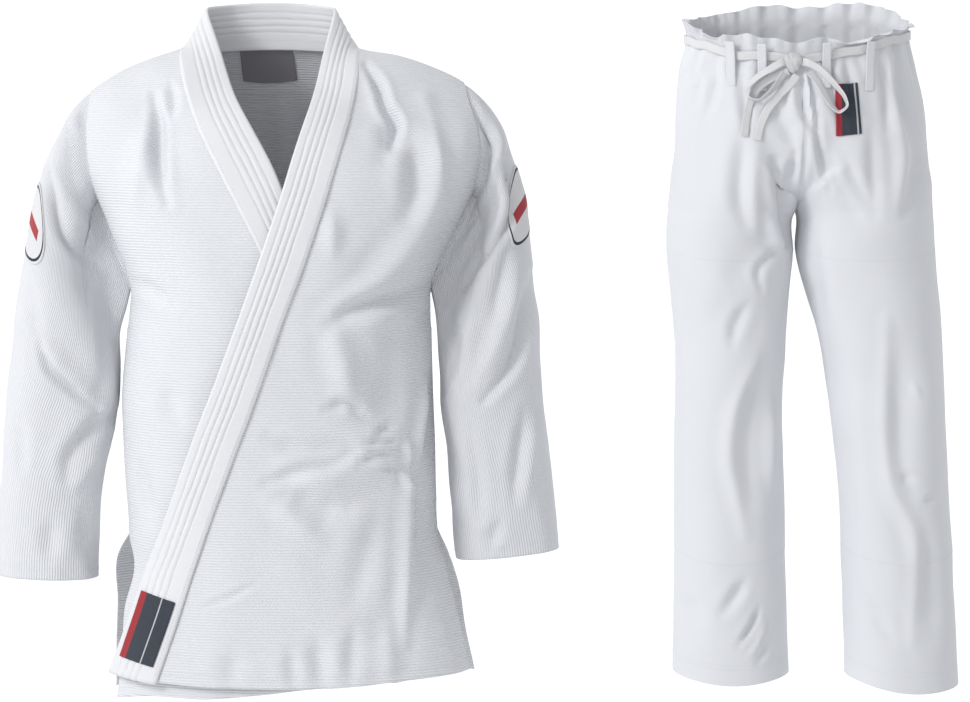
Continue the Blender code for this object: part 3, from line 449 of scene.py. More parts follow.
WHITE = (0.79, 0.80, 0.83)
BODY_WEAVE = weave("pearl_weave_across", WHITE, 0.0036, 0.0042, True, 0.0007, 0.13)
SLEEVE_WEAVE = weave("pearl_weave_along", WHITE, 0.0034, 0.0040, False, 0.0008, 0.14)
BAND_WEAVE = weave("band_canvas", (0.80, 0.80, 0.82), 0.0012, 0.0013, True, 0.00018, 0.05)
TROUSER_TWILL = twill("trouser_twill", (0.79, 0.80, 0.83), 0.0011, 0.0001, 0.05)
TAPE_WEAVE = twill("tape_twill", (0.84, 0.84, 0.85), 0.0013, 0.0002, 0.08, 0.7, 0.1)
THREAD = twill("sewing_thread", (0.74, 0.75, 0.78), 0.0004, 0.0001, 0.2, 0.6)
LABEL_SATIN = twill("label_satin", (0.30, 0.285, 0.31), 0.0007, 0.00008, 0.15, 0.5, 0.2, 0.5)

# Jacket outlines by height (z, x) and depths by height (z, y)
BODY_LEFT = [(60, -236), (-60, -262), (-150, -240), (-230, -206), (-309, -179), (-386, -186), (-458, -191),
             (-510, -190), (-563, -187), (-625, -184), (-660, -184), (-723, -202), (-790, -209), (-860, -214)]
BODY_RIGHT = [(60, 262), (-48, 292), (-150, 276), (-230, 240), (-309, 206), (-386, 207), (-458, 209),
              (-510, 211), (-563, 212), (-625, 214), (-660, 223), (-720, 246), (-803, 270), (-860, 276)]
BACK_LEFT = BODY_LEFT[:10] + [(-666, -209), (-729, -222), (-783, -226), (-860, -230)]
BACK_RIGHT = BODY_RIGHT[:10] + [(-656, 228), (-702, 250), (-756, 266), (-819, 282), (-860, 288)]
FRONT_DEPTH = [(60, 92), (-40, 96), (-100, 104), (-180, 121), (-300, 128), (-480, 122), (-640, 120), (-860, 124)]
BACK_DEPTH = [(60, 112), (-40, 112), (-180, 116), (-300, 112), (-480, 100), (-640, 110), (-860, 124)]
RIDGE = [(-300, -100), (-258, -80), (-228, -58), (-193, -35), (-154, -18), (-115, -5), (-60, 20), (0, 27),
         (60, 20), (118, -5), (168, -14), (207, -27), (250, -48), (280, -72), (320, -100)]
# Largest folds, as in the solids: start, end, half width, depth
JACKET_FOLDS = [
    (-146, -44, -122, -150, 22, 5.0), (104, -60, 176, -130, 24, 5.0),
    (204, -80, 224, -210, 22, 5.0), (226, -222, 140, -336, 25, 4.5),
    (-196, -100, -184, -226, 22, 4.5), (-172, -320, -84, -404, 24, 4.0),
    (206, -520, 60, -600, 26, 4.5), (208, -420, 96, -476, 24, 4.0),
]
# Creases of the jacket front: half width, depth (a ridge is below 0), points (x, z)
FRONT_CREASES = [
    (7.5, 6, [(-142, -65), (-135, -99), (-134, -139), (-129, -174), (-122, -198)]),
    (6, 3, [(-120, -50), (-116, -72), (-117, -90)]),
    (12, -3, [(-154, -105), (-157, -149), (-165, -193)]),
    (6, 6, [(126, -25), (143, -52), (152, -79), (165, -102), (160, -130)]),
    (15, 5, [(161, -93), (162, -118), (151, -143)]),
    (13, 6, [(185, -118), (188, -149), (187, -187), (177, -212)]),
    (13, -5, [(201, -68), (210, -105), (210, -149), (204, -187), (190, -225), (158, -271), (120, -307), (85, -335)]),
    (11, 7, [(209, -303), (186, -311), (164, -317), (133, -323), (105, -331), (82, -345)]),
    (10, -3, [(85, -212), (85, -259)]),
    (14, -4, [(80, -347), (91, -376), (99, -411), (103, -440)]),
    (26, 6, [(171, -338), (161, -376), (152, -427), (145, -465)]),
    (7, 4, [(76, -456), (101, -449), (122, -467)]),
    (10, 3.5, [(6, -492), (31, -503), (65, -510), (99, -505)]),
    (8, 4, [(3, -549), (44, -535), (88, -524), (110, -510)]),
    (15, 4, [(31, -563), (69, -580), (100, -584)]),
    (13, -3, [(5, -574), (43, -599), (66, -625)]),
    (4.5, 3.5, [(135, -488), (156, -482)]),
    (5, -3, [(173, -501), (174, -533)]),
    (4, -2.5, [(164, -544), (180, -570)]),
    (5, 3, [(122, -503), (143, -498), (165, -505)]),
    (5, 3, [(115, -525), (142, -516), (163, -520)]),
    (4.5, 2.5, [(145, -535), (166, -540)]),
    (8, -4, [(175, -548), (173, -599), (171, -676), (171, -760)]),
    (12, 4, [(188, -548), (190, -625), (195, -702)]),
    (15, 3, [(135, -599), (122, -650), (109, -702)]),
    (6, -4, [(197, -427), (195, -453), (187, -497), (183, -542)]),
    (8, 4, [(207, -421), (206, -484), (203, -535)]),
    (4, 1.5, [(-77, -711), (-46, -697), (-11, -679)]),
    (11, 3, [(65, -753), (70, -810)]),
    (10, 3, [(109, -738), (106, -805)]),
    (9, 2.5, [(32, -766), (37, -810)]),
    (12, -3, [(151, -740), (154, -805)]),
    (12, 2, [(-39, -766), (-45, -810)]),
    (9, 3, [(-162, -535), (-156, -574), (-150, -609)]),
    (12, 2.5, [(-127, -433), (-111, -472)]),
    (9, 3, [(-167, -300), (-145, -309), (-119, -326)]),
]
BACK_CREASES = [
    (9, 5, [(-190, -120), (-150, -168), (-96, -236)]), (8, 4.5, [(-176, -92), (-140, -112), (-100, -126)]),
    (11, -4, [(-168, -160), (-120, -214), (-78, -250)]), (10, 5, [(214, -118), (168, -176), (120, -226)]),
    (8, 4, [(196, -84), (150, -104), (110, -114)]), (12, -4, [(190, -176), (140, -222), (100, -256)]),
    (12, 4, [(-172, -300), (-120, -332), (-52, -342)]), (12, 4.5, [(196, -296), (140, -330), (74, -346)]),
    (9, 4, [(-182, -430), (-130, -452), (-60, -440)]), (9, 4, [(200, -440), (150, -470), (84, -462)]),
    (8, 4, [(-180, -500), (-116, -508), (-40, -486)]), (8, 3.5, [(204, -520), (140, -540), (60, -524)]),
    (10, -3, [(-150, -478), (-84, -482)]), (10, -3, [(172, -500), (110, -512)]),
    (6, 3, [(-176, -548), (-134, -574)]), (6, 3, [(196, -566), (150, -590)]),
    (13, 4, [(-110, -620), (-124, -730), (-130, -836)]), (13, 4, [(-20, -640), (-28, -740), (-36, -834)]),
    (12, 4, [(74, -630), (78, -740), (84, -832)]), (12, 4, [(160, -640), (178, -750), (196, -826)]),
    (13, -4, [(-66, -650), (-74, -750), (-80, -834)]), (12, -4, [(28, -660), (26, -760), (26, -834)]),
    (12, -4, [(120, -660), (130, -760), (140, -830)]), (14, 4, [(10, -60), (14, -130), (10, -200)]),
    (7, 2.5, [(-40, -398), (10, -410), (52, -400)]),
]


def ridge_height(x):
    return curve([r[0] for r in RIDGE], [r[1] for r in RIDGE], x)


def folds_at(table, x, z):
    out = np.zeros_like(x)
    for x0, z0, x1, z1, width, depth in table:
        dx, dz = x1 - x0, z1 - z0
        size = dx * dx + dz * dz
        t = ((x - x0) * dx + (z - z0) * dz) / size
        away = ((x - x0) * dz - (z - z0) * dx) / math.sqrt(size)
        ends = smooth(-0.15, 0.25, t) * (1 - smooth(0.75, 1.15, t))
        out += depth * ends * np.exp(-(away / width) ** 2)
    return out


def body_depth(x, z, front, folds=True):
    left = by_height(BODY_LEFT if front else BACK_LEFT, z)
    right = by_height(BODY_RIGHT if front else BACK_RIGHT, z)
    xi = np.clip((x - (left + right) / 2) / ((right - left) / 2), -1, 1)
    wide = (1 - np.abs(xi) ** 2.5) ** (1 / 2.1)
    t = np.clip((ridge_height(x) - z) / 190.0, 0, 1)
    tall = (1 - (1 - t) ** 2.3) ** 0.5
    out = by_height(FRONT_DEPTH if front else BACK_DEPTH, z) * wide * tall
    if front and folds:
        out = out - folds_at(JACKET_FOLDS, x, z) * smooth(0, 45, out)
    return out


def body(xz, front):
    x, z = xz[..., 0], xz[..., 1]
    d = 0.1 + body_depth(x, z, front)
    return np.stack([x, -d if front else d, z], axis=-1)


def body_normal(xz, front):
    ex, ez = np.array([1.0, 0.0]), np.array([0.0, 1.0])
    du = body(xz + ex, front) - body(xz - ex, front)
    dv = body(xz + ez, front) - body(xz - ez, front)
    n = unit(np.cross(du, dv))
    return n if front else -n


def body_uv(xz, front):
    """Distances over the cloth, across from the middle and up from the hem."""
    x, z = xz[..., 0], xz[..., 1]
    steps = np.linspace(0, 1, 25)
    low = -840.0
    left, right = (BODY_LEFT, BODY_RIGHT) if front else (BACK_LEFT, BACK_RIGHT)
    share = np.clip((x - by_height(left, z)) / (by_height(right, z) - by_height(left, z)), 0.03, 0.97)
    d = []
    for s in steps:
        height = low + (z - low) * s
        edges = by_height(left, height), by_height(right, height)
        d.append(body_depth(edges[0] + share * (edges[1] - edges[0]), height, front, False))
    v = np.hypot(np.diff(np.stack(d), axis=0), (z - low) / 24).sum(axis=0)
    d = np.stack([body_depth(10 + (x - 10) * s, z, front, False) for s in steps])
    u = np.hypot(np.diff(d, axis=0), (x - 10) / 24).sum(axis=0) * np.sign(x - 10)
    return np.stack([u, v], axis=-1)


# Edge lines of the jacket, all (x, z)
ARM_RIGHT = [(-228, -58), (-232, -107), (-227, -164), (-210, -236), (-179, -309)]
ARM_LEFT = [(250, -48), (261, -88), (268, -132), (262, -183), (246, -228), (229, -266), (206, -309)]
SIDE_RIGHT = [(-179, -309), (-186, -386), (-191, -458), (-190, -510), (-187, -563), (-184, -632)]
SIDE_LEFT = [(206, -309), (207, -386), (209, -458), (211, -510), (212, -563), (214, -628)]
FLAP_RIGHT = [(-184, -632), (-175, -660), (-186, -723), (-190, -790), (-196, -838)]
FLAP_LEFT = [(214, -628), (225, -673), (237, -719), (254, -802)]
BACKFLAP_RIGHT = [(-184, -632), (-203, -666), (-206, -729), (-209, -783), (-211, -843)]
BACKFLAP_LEFT = [(214, -628), (226, -656), (239, -702), (249, -756), (263, -822)]
TOP_SEAM = [(115, -43), (105, -92), (84, -170), (54, -262), (16, -366), (-16, -458), (-38, -518), (-71, -612),
            (-103, -712), (-136, -811)]
TOP_FREE = [(74, 5), (61, -60), (48, -105), (24, -185), (2, -250), (-33, -350), (-66, -440), (-84, -488),
            (-118, -588), (-194, -804)]
UNDER_SEAM = [(-104, -45), (-84, -100), (-54, -160), (-30, -205), (0, -265), (34, -357), (72, -465), (98, -540),
              (124, -630), (158, -808)]
UNDER_FREE = [(-66, 12), (-40, -60), (-12, -110), (10, -150), (34, -205), (76, -325), (112, -440), (140, -526),
              (170, -616), (208, -800)]
HEM_TOP = [(-155, -806), (-21, -811), (100, -810), (170, -805), (254, -802)]
HEM_UNDER = [(176, -806), (120, -812), (48, -816), (-9, -823), (-73, -829), (-162, -831), (-196, -838)]
HEM_BACK = [(-211, -843), (-120, -838), (20, -836), (150, -830), (263, -822)]
NECK_X = (-114.0, 117.0)


def lift(xz):
    """How far the top front is pushed out by the front that lies under it."""
    x, z = xz[..., 0], xz[..., 1]
    return 12.0 * smooth(2, 42, by_height(BODY_RIGHT, z) - x) * smooth(-66, -150, z)


def ridge_line(x0, x1):
    def at(t):
        x = x0 + (x1 - x0) * np.asarray(t, float)
        return np.stack([x, ridge_height(x)], axis=-1)
    return at


def square_cut(n, where, axis=1):
    """Turn edge normals into the plane of the seam."""
    part = n[where].copy()
    part[..., axis] = 0
    size = np.linalg.norm(part, axis=-1, keepdims=True)
    n[where] = np.where(size > 0.15, part / np.maximum(size, 1e-9), n[where])


ROWS = (76, 64, 56)
FRONT_COLS = 126
STITCHED = []


def sew(grid_p, grid_n, rows, cols, height):
    """Remember a stitched line that runs over a grid at fractional rows and columns."""
    rows, cols = np.broadcast_arrays(np.asarray(rows, float), np.asarray(cols, float))
    i = np.clip(rows.astype(int), 0, grid_p.shape[0] - 2)
    j = np.clip(cols.astype(int), 0, grid_p.shape[1] - 2)
    fr, fc = (rows - i)[:, None], (cols - j)[:, None]

    def at(g):
        return ((1 - fr) * ((1 - fc) * g[i, j] + fc * g[i, j + 1])
                + fr * ((1 - fc) * g[i + 1, j] + fc * g[i + 1, j + 1]))
    n = unit(at(grid_n))
    return at(grid_p) + n * height, n


def body_relief(xz, front, depth):
    table = FRONT_CREASES if front else BACK_CREASES
    x, z = xz[..., 0], xz[..., 1]
    out = JACKET_DEPTH * creases(table, x, z) + 1.2 * ripple(x, z, 95, 3 if front else 4)
    return out * smooth(0, 32, depth)


def build_front(node, seam_line, free_line, arm, side, flap, left_side, hem, raised):
    shares = [0.07 + 0.28 * float(smooth(-130, -230, q[1])) for q in seam_line]
    edge = [tuple((1 - k) * a + k * b for a, b in zip(q, r)) for k, q, r in zip(shares, seam_line, free_line)]
    neck_x = 113 if left_side else -109
    edge = [(neck_x, float(ridge_height(np.array(neck_x))))] + edge
    side_at, ends = joined(arm, side, flap)
    vs = split_rows(ROWS, ends, 1.5)
    xz = coons(ridge_line(neck_x, arm[0][0]), line(hem), line(edge), side_at, rounded(FRONT_COLS), vs)
    p = body(xz, True)
    n = body_normal(xz, True)
    square_cut(n, (0, slice(None)))
    square_cut(n, (slice(ROWS[0], ROWS[0] + ROWS[1] + 1), -1))
    relief = body_relief(xz, True, -p[..., 1])
    low = (lift(xz) if raised else np.zeros(xz.shape[:2])) + relief
    uv = body_uv(xz, True)
    cloth(node, p, n, low, low + JACKET_CLOTH, uv, BODY_WEAVE)
    height = low + JACKET_CLOTH
    last = len(vs) - 1
    cols = np.linspace(3, FRONT_COLS - 2, 400)
    for up in (3.2, 4.6):
        STITCHED.append(sew(p + n * height[..., None], n, last - up, cols, 0.0))
    flap_rows = np.linspace(ROWS[0] + ROWS[1] + 2, last - 1, 200)
    STITCHED.append(sew(p + n * height[..., None], n, flap_rows, FRONT_COLS - 8.0, 0.0))
    arm_rows = np.linspace(1, ROWS[0] - 1, 260)
    for back in (5.5, 8.5):
        STITCHED.append(sew(p + n * height[..., None], n, arm_rows, FRONT_COLS - 1.0 - back, 0.0))
    reach = slice(0, ROWS[0] + 1)
    return (p + n * (low + JACKET_CLOTH / 2)[..., None])[reach, -1], n[reach, -1]


def neck_seam(x):
    mid = (NECK_X[0] + NECK_X[1]) / 2
    xi = np.clip((x - mid) / ((NECK_X[1] - NECK_X[0]) / 2), -1, 1)
    return -5 + 7 * (1 - xi ** 2)


def build_back():
    left_at, ends = joined(ARM_RIGHT, SIDE_RIGHT, BACKFLAP_RIGHT)
    right_at, _ = joined(ARM_LEFT, SIDE_LEFT, BACKFLAP_LEFT)
    vs = split_rows(ROWS, ends, 1.5)
    counts = (26, 56, 26)
    cuts = (-228.0, NECK_X[0], NECK_X[1], 250.0)
    xs = np.concatenate([np.linspace(cuts[0], cuts[1], counts[0] + 1),
                         (cuts[1] + cuts[2]) / 2 - (cuts[2] - cuts[1]) / 2
                         * np.cos(math.pi * np.linspace(0, 1, counts[1] + 1))[1:],
                         np.linspace(cuts[2], cuts[3], counts[2] + 1)[1:]])

    def top(t):
        x = cuts[0] + (cuts[3] - cuts[0]) * np.asarray(t, float)
        z = np.where((x >= NECK_X[0]) & (x <= NECK_X[1]), neck_seam(x), ridge_height(x))
        return np.stack([x, z], axis=-1)
    flat = (xs - cuts[0]) / (cuts[3] - cuts[0])
    soft = rounded(len(xs), both=True)
    top_grid = coons(top, line(HEM_BACK), left_at, right_at, flat, vs)
    low_grid = coons(top, line(HEM_BACK), left_at, right_at, soft, vs)
    w = smooth(0.0, 0.3, vs)[:, None, None]
    xz = (1 - w) * top_grid + w * low_grid
    p = body(xz, False)
    n = body_normal(xz, False)
    square_cut(n, (0, slice(0, counts[0] + 1)))
    square_cut(n, (0, slice(counts[0] + counts[1], None)))
    seam = slice(ROWS[0], ROWS[0] + ROWS[1] + 1)
    square_cut(n, (seam, 0))
    square_cut(n, (seam, -1))
    relief = body_relief(xz, False, p[..., 1])
    cloth("jacket_back", p, n, relief, relief + JACKET_CLOTH, body_uv(xz, False), BODY_WEAVE)
    height = relief + JACKET_CLOTH
    shown = p + n * height[..., None]
    cols = np.linspace(2, len(xs) - 3, 500)
    for up in (3.2, 4.6):
        STITCHED.append(sew(shown, n, len(vs) - 1 - up, cols, 0.0))
    mid, reach = p + n * (relief + JACKET_CLOTH / 2)[..., None], slice(0, ROWS[0] + 1)
    arm_rows = np.linspace(1, ROWS[0] - 1, 260)
    for back in (2.5, 3.6):
        STITCHED.append(sew(shown, n, arm_rows, back, 0.0))
        STITCHED.append(sew(shown, n, arm_rows, len(xs) - 1 - back, 0.0))
    return (mid[reach, 0], n[reach, 0]), (mid[reach, -1], n[reach, -1]), (p + n * relief[..., None], n)


ARM_FRONT_LEFT = build_front("jacket_front_left", TOP_SEAM, TOP_FREE, ARM_LEFT, SIDE_LEFT, FLAP_LEFT, True, HEM_TOP,
                             True)
ARM_FRONT_RIGHT = build_front("jacket_front_right", UNDER_SEAM, UNDER_FREE, ARM_RIGHT, SIDE_RIGHT, FLAP_RIGHT,
                              False, HEM_UNDER, False)
ARM_BACK_RIGHT, ARM_BACK_LEFT, BACK_GRID = build_back()

# Sleeves
SLEEVE_RIGHT_OUT = [(-232, -61), (-258, -88), (-277, -120), (-290, -153), (-299, -185), (-312, -243), (-328, -341),
                    (-339, -432), (-348, -523), (-354, -609), (-357, -684)]
SLEEVE_RIGHT_IN = [(-183, -313), (-190, -338), (-198, -372), (-198, -419), (-198, -451), (-206, -497), (-219, -555),
                   (-226, -618), (-228, -688)]
SLEEVE_LEFT_OUT = [(254, -50), (273, -66), (292, -90), (307, -120), (318, -153), (327, -185), (337, -263),
                   (346, -367), (353, -458), (361, -523), (368, -589), (374, -650)]
SLEEVE_LEFT_IN = [(211, -313), (216, -340), (219, -372), (220, -419), (223, -471), (229, -523), (234, -589),
                  (240, -663)]
SLEEVE_DEPTH = ((56, 62, 50), (52, 60, 48))
SLEEVE_RIGHT_CREASES = [
    (8, 5, [(-236, -79), (-232, -107)]),
    (6, 5.5, [(-281, -163), (-272, -205), (-261, -241), (-239, -270), (-226, -283)]),
    (9, -3.5, [(-268, -160), (-256, -196), (-241, -228), (-222, -254)]),
    (5, 5.5, [(-291, -380), (-280, -412), (-257, -435), (-221, -464)]),
    (9, -3, [(-278, -382), (-261, -408), (-230, -434)]),
    (9, 5.5, [(-262, -554), (-258, -531), (-238, -501), (-215, -482), (-196, -474)]),
    (8, -3, [(-251, -570), (-236, -544), (-213, -518)]),
    (10, 4, [(-240, -600), (-236, -635), (-234, -668)]),
    (10, 3, [(-281, -609), (-284, -661)]),
    (9, 4, [(-211, -297), (-208, -331), (-206, -363)]),
    (10, 3, [(-308, -299), (-303, -337), (-294, -373)]),
    (9, 2.5, [(-321, -479), (-319, -544)]),
]
SLEEVE_LEFT_CREASES = [
    (6.5, 8, [(254, -68), (272, -96), (283, -116), (282, -139), (273, -167), (261, -196), (243, -241), (225, -279)]),
    (7, -4, [(268, -75), (293, -119), (293, -160), (304, -202), (293, -247), (261, -286)]),
    (5.5, 5.5, [(307, -171), (313, -202), (306, -228), (284, -260), (265, -286), (255, -308)]),
    (3, 2.5, [(272, -213), (255, -237), (245, -256)]),
    (7.5, 7.5, [(338, -292), (331, -327), (326, -359), (319, -391), (300, -424), (277, -453)]),
    (10, -5, [(320, -276), (311, -324), (292, -382), (264, -438)]),
    (8, 3, [(306, -263), (297, -305), (290, -344)]),
    (8, 4, [(328, -466), (321, -521), (315, -583)]),
    (8, -3, [(342, -479), (336, -531), (330, -590)]),
    (10, 4.5, [(233, -344), (237, -391), (224, -443)]),
    (8, 3, [(297, -609), (284, -642)]),
    (9, 3, [(357, -557), (361, -609)]),
    (8, 3, [(259, -492), (269, -557), (272, -609)]),
]
SLEEVE_RIGHT_BACK = [
    (8, 5, [(-244, -110), (-232, -160), (-216, -214)]), (7, 5, [(-286, -190), (-262, -236), (-232, -270)]),
    (9, -4, [(-274, -168), (-250, -216), (-222, -250)]), (7, 5, [(-300, -330), (-270, -376), (-222, -410)]),
    (9, -4, [(-292, -306), (-260, -350), (-220, -384)]), (7, 4, [(-312, -420), (-280, -462), (-232, -490)]),
    (8, 4, [(-320, -520), (-286, -560), (-246, -580)]), (9, 3, [(-290, -600), (-292, -670)]),
    (9, 3, [(-326, -560), (-330, -650)]),
]
SLEEVE_LEFT_BACK = [
    (8, 6, [(264, -92), (272, -140), (258, -200), (236, -250)]), (7, 5, [(304, -190), (286, -236), (256, -282)]),
    (9, -4, [(290, -150), (280, -206), (252, -256)]), (7, 5.5, [(330, -300), (306, -352), (262, -390)]),
    (9, -4, [(320, -280), (296, -330), (256, -366)]), (7, 4, [(340, -410), (310, -452), (262, -480)]),
    (8, 4, [(350, -500), (316, -540), (272, -566)]), (9, 3, [(300, -580), (306, -650)]),
    (9, 3, [(342, -560), (348, -640)]),
]


def build_sleeve(node, out_line, in_line, front, back, sign, depth, front_table, back_table):
    """Tube whose first rings lie under the cut edge of the body, then turn oval."""
    rows = 176
    half_cols = ROWS[0]
    ring = np.concatenate([front[0], back[0][-2::-1]])
    ring_n = np.concatenate([front[1], back[1][-2::-1]])
    ring[0, 1] = ring[-1, 1] = ring[half_cols, 1] = 0
    ring_n[0] = ring_n[-1] = unit(front[1][0] + back[1][0])
    turn = np.cross(np.gradient(ring, axis=0), ring_n)
    turn[0] = turn[-1] = np.cross(ring[1] - ring[-2], ring_n[0])
    turn = unit(turn)
    if turn[0, 0] * sign < 0:
        turn = -turn
    top, foot = ring[0], ring[half_cols]
    axis = np.array([foot[0] - top[0], foot[2] - top[2]])
    rel = np.stack([ring[:, 0] - top[0], ring[:, 2] - top[2]], axis=1) @ axis / (axis @ axis)
    theta = np.arccos(np.clip(1 - 2 * rel, -1, 1))
    theta[half_cols + 1:] = 2 * math.pi - theta[half_cols + 1:]
    even = np.linspace(0, 2 * math.pi, 2 * half_cols + 1)
    v = np.linspace(0, 1, rows) ** 0.95
    outer, inner = path(out_line, v), path(in_line, v)
    p = np.zeros((rows, len(theta), 3))
    for i in range(rows):
        w = 1 - smooth(0, 0.4, v[i])
        ang = w * theta + (1 - w) * even
        mid, half = (outer[i] + inner[i]) / 2, (outer[i] - inner[i]) / 2
        c, s = np.cos(ang), np.sin(ang)
        along = np.sign(c) * np.abs(c) ** 0.92
        p[i, :, 0] = mid[0] + half[0] * along
        p[i, :, 2] = mid[1] + half[1] * along
        deep = np.where(s > 0, curve((0, 0.3, 1), depth[0], v[i]), curve((0, 0.3, 1), depth[1], v[i]))
        p[i, :, 1] = -np.sign(s) * np.abs(s) ** 0.85 * deep
    first = p[0].copy()
    for i in range(rows):
        w = 1 - smooth(0, 0.34, v[i])
        p[i] = w * (ring + (p[i] - first)) + (1 - w) * p[i]
    n = normals(p, wrap=True)
    if np.dot(n[rows // 2, 0], p[rows // 2, 0] - p[rows // 2].mean(axis=0)) < 0:
        n = -n
    away = np.concatenate([np.zeros((1, p.shape[1])), np.cumsum(np.linalg.norm(np.diff(p, axis=0), axis=2), axis=0)])
    near = smooth(14, 0, away)[..., None]
    n = unit(n * (1 - near) + ring_n[None] * near)
    n[:, -1] = n[:, 0]
    x, y, z = p[..., 0], p[..., 1], p[..., 2]
    relief = creases(front_table, x, z) * smooth(12, -14, y) + creases(back_table, x, z) * smooth(-12, 14, y)
    relief = SLEEVE_FOLD_DEPTH * relief + 1.2 * ripple(x + 2 * y, z - y, 80, 7 if sign > 0 else 8)
    relief = relief * smooth(0, 16, away) - 1.8 * smooth(12, 0, away)
    relief[:, -1] = relief[:, 0]
    p = p + n * relief[..., None]
    tuck = np.stack([ring - turn * 7 - ring_n * 2.6, ring - turn * 3.5 - ring_n * 2.1])
    p = np.concatenate([tuck, p])
    n = np.concatenate([ring_n[None], ring_n[None], n])
    p[:, -1] = p[:, 0]
    n[:, -1] = n[:, 0]
    uv = grid_uv(p)
    cloth(node, p, n, -JACKET_CLOTH / 2, JACKET_CLOTH / 2, uv, SLEEVE_WEAVE, wrap=True)
    turns = np.linspace(0, 2 * half_cols, 420)
    for up in (4.2, 5.6):
        STITCHED.append(sew(p, n, p.shape[0] - 1 - up, turns, JACKET_CLOTH / 2))
    return p, n


SLEEVE_RIGHT = build_sleeve("jacket_sleeve_right", SLEEVE_RIGHT_OUT, SLEEVE_RIGHT_IN, ARM_FRONT_RIGHT,
                            ARM_BACK_RIGHT, -1, SLEEVE_DEPTH, SLEEVE_RIGHT_CREASES, SLEEVE_RIGHT_BACK)
SLEEVE_LEFT = build_sleeve("jacket_sleeve_left", SLEEVE_LEFT_OUT, SLEEVE_LEFT_IN, ARM_FRONT_LEFT,
                           ARM_BACK_LEFT, 1, SLEEVE_DEPTH, SLEEVE_LEFT_CREASES, SLEEVE_LEFT_BACK)

# Collar band: one quilted strip, top lapel, neck and under lapel
LAPEL_ROWS = 190
NECK_ROWS = 74
BAND_COLS = 57
CHANNELS = (0.37, 0.51, 0.655, 0.80)     # stitched lines, shares from the seam to the free edge
BAND_BASE = 2.3                          # underside of the band over the panel's own form


def neck_station(x):
    """Seam edge and free edge of the standing collar at x."""
    mid, half = (NECK_X[0] + NECK_X[1]) / 2, (NECK_X[1] - NECK_X[0]) / 2
    xi = (x - mid) / half
    z = float(neck_seam(np.array(x)))
    y = float(0.25 + body_depth(np.array(x), np.array(z), False)) + JACKET_CLOTH / 2
    rise = 1 - xi * xi
    return (x, y, z - 5.5, mid + 0.74 * (x - mid), y * 0.93 - 1, 49.5 + 7 * rise)


def even_out(p, join, reach):
    """Blend a smoothed copy of the rows in round a join."""
    lo, hi = join - 3 * reach, join + 3 * reach
    rows = np.arange(lo, hi)
    kernel = np.exp(-(np.arange(-2 * reach, 2 * reach + 1) / reach) ** 2)
    kernel /= kernel.sum()
    soft = sum(k * p[rows + s] for k, s in zip(kernel, range(-2 * reach, 2 * reach + 1)))
    w = smooth(3 * reach, 0.8 * reach, np.abs(rows - join))[:, None, None]
    w = w * smooth(-0.05, 0.6, np.linspace(0, 1, p.shape[1]))[None, :, None]
    p[rows] = w * soft + (1 - w) * p[rows]


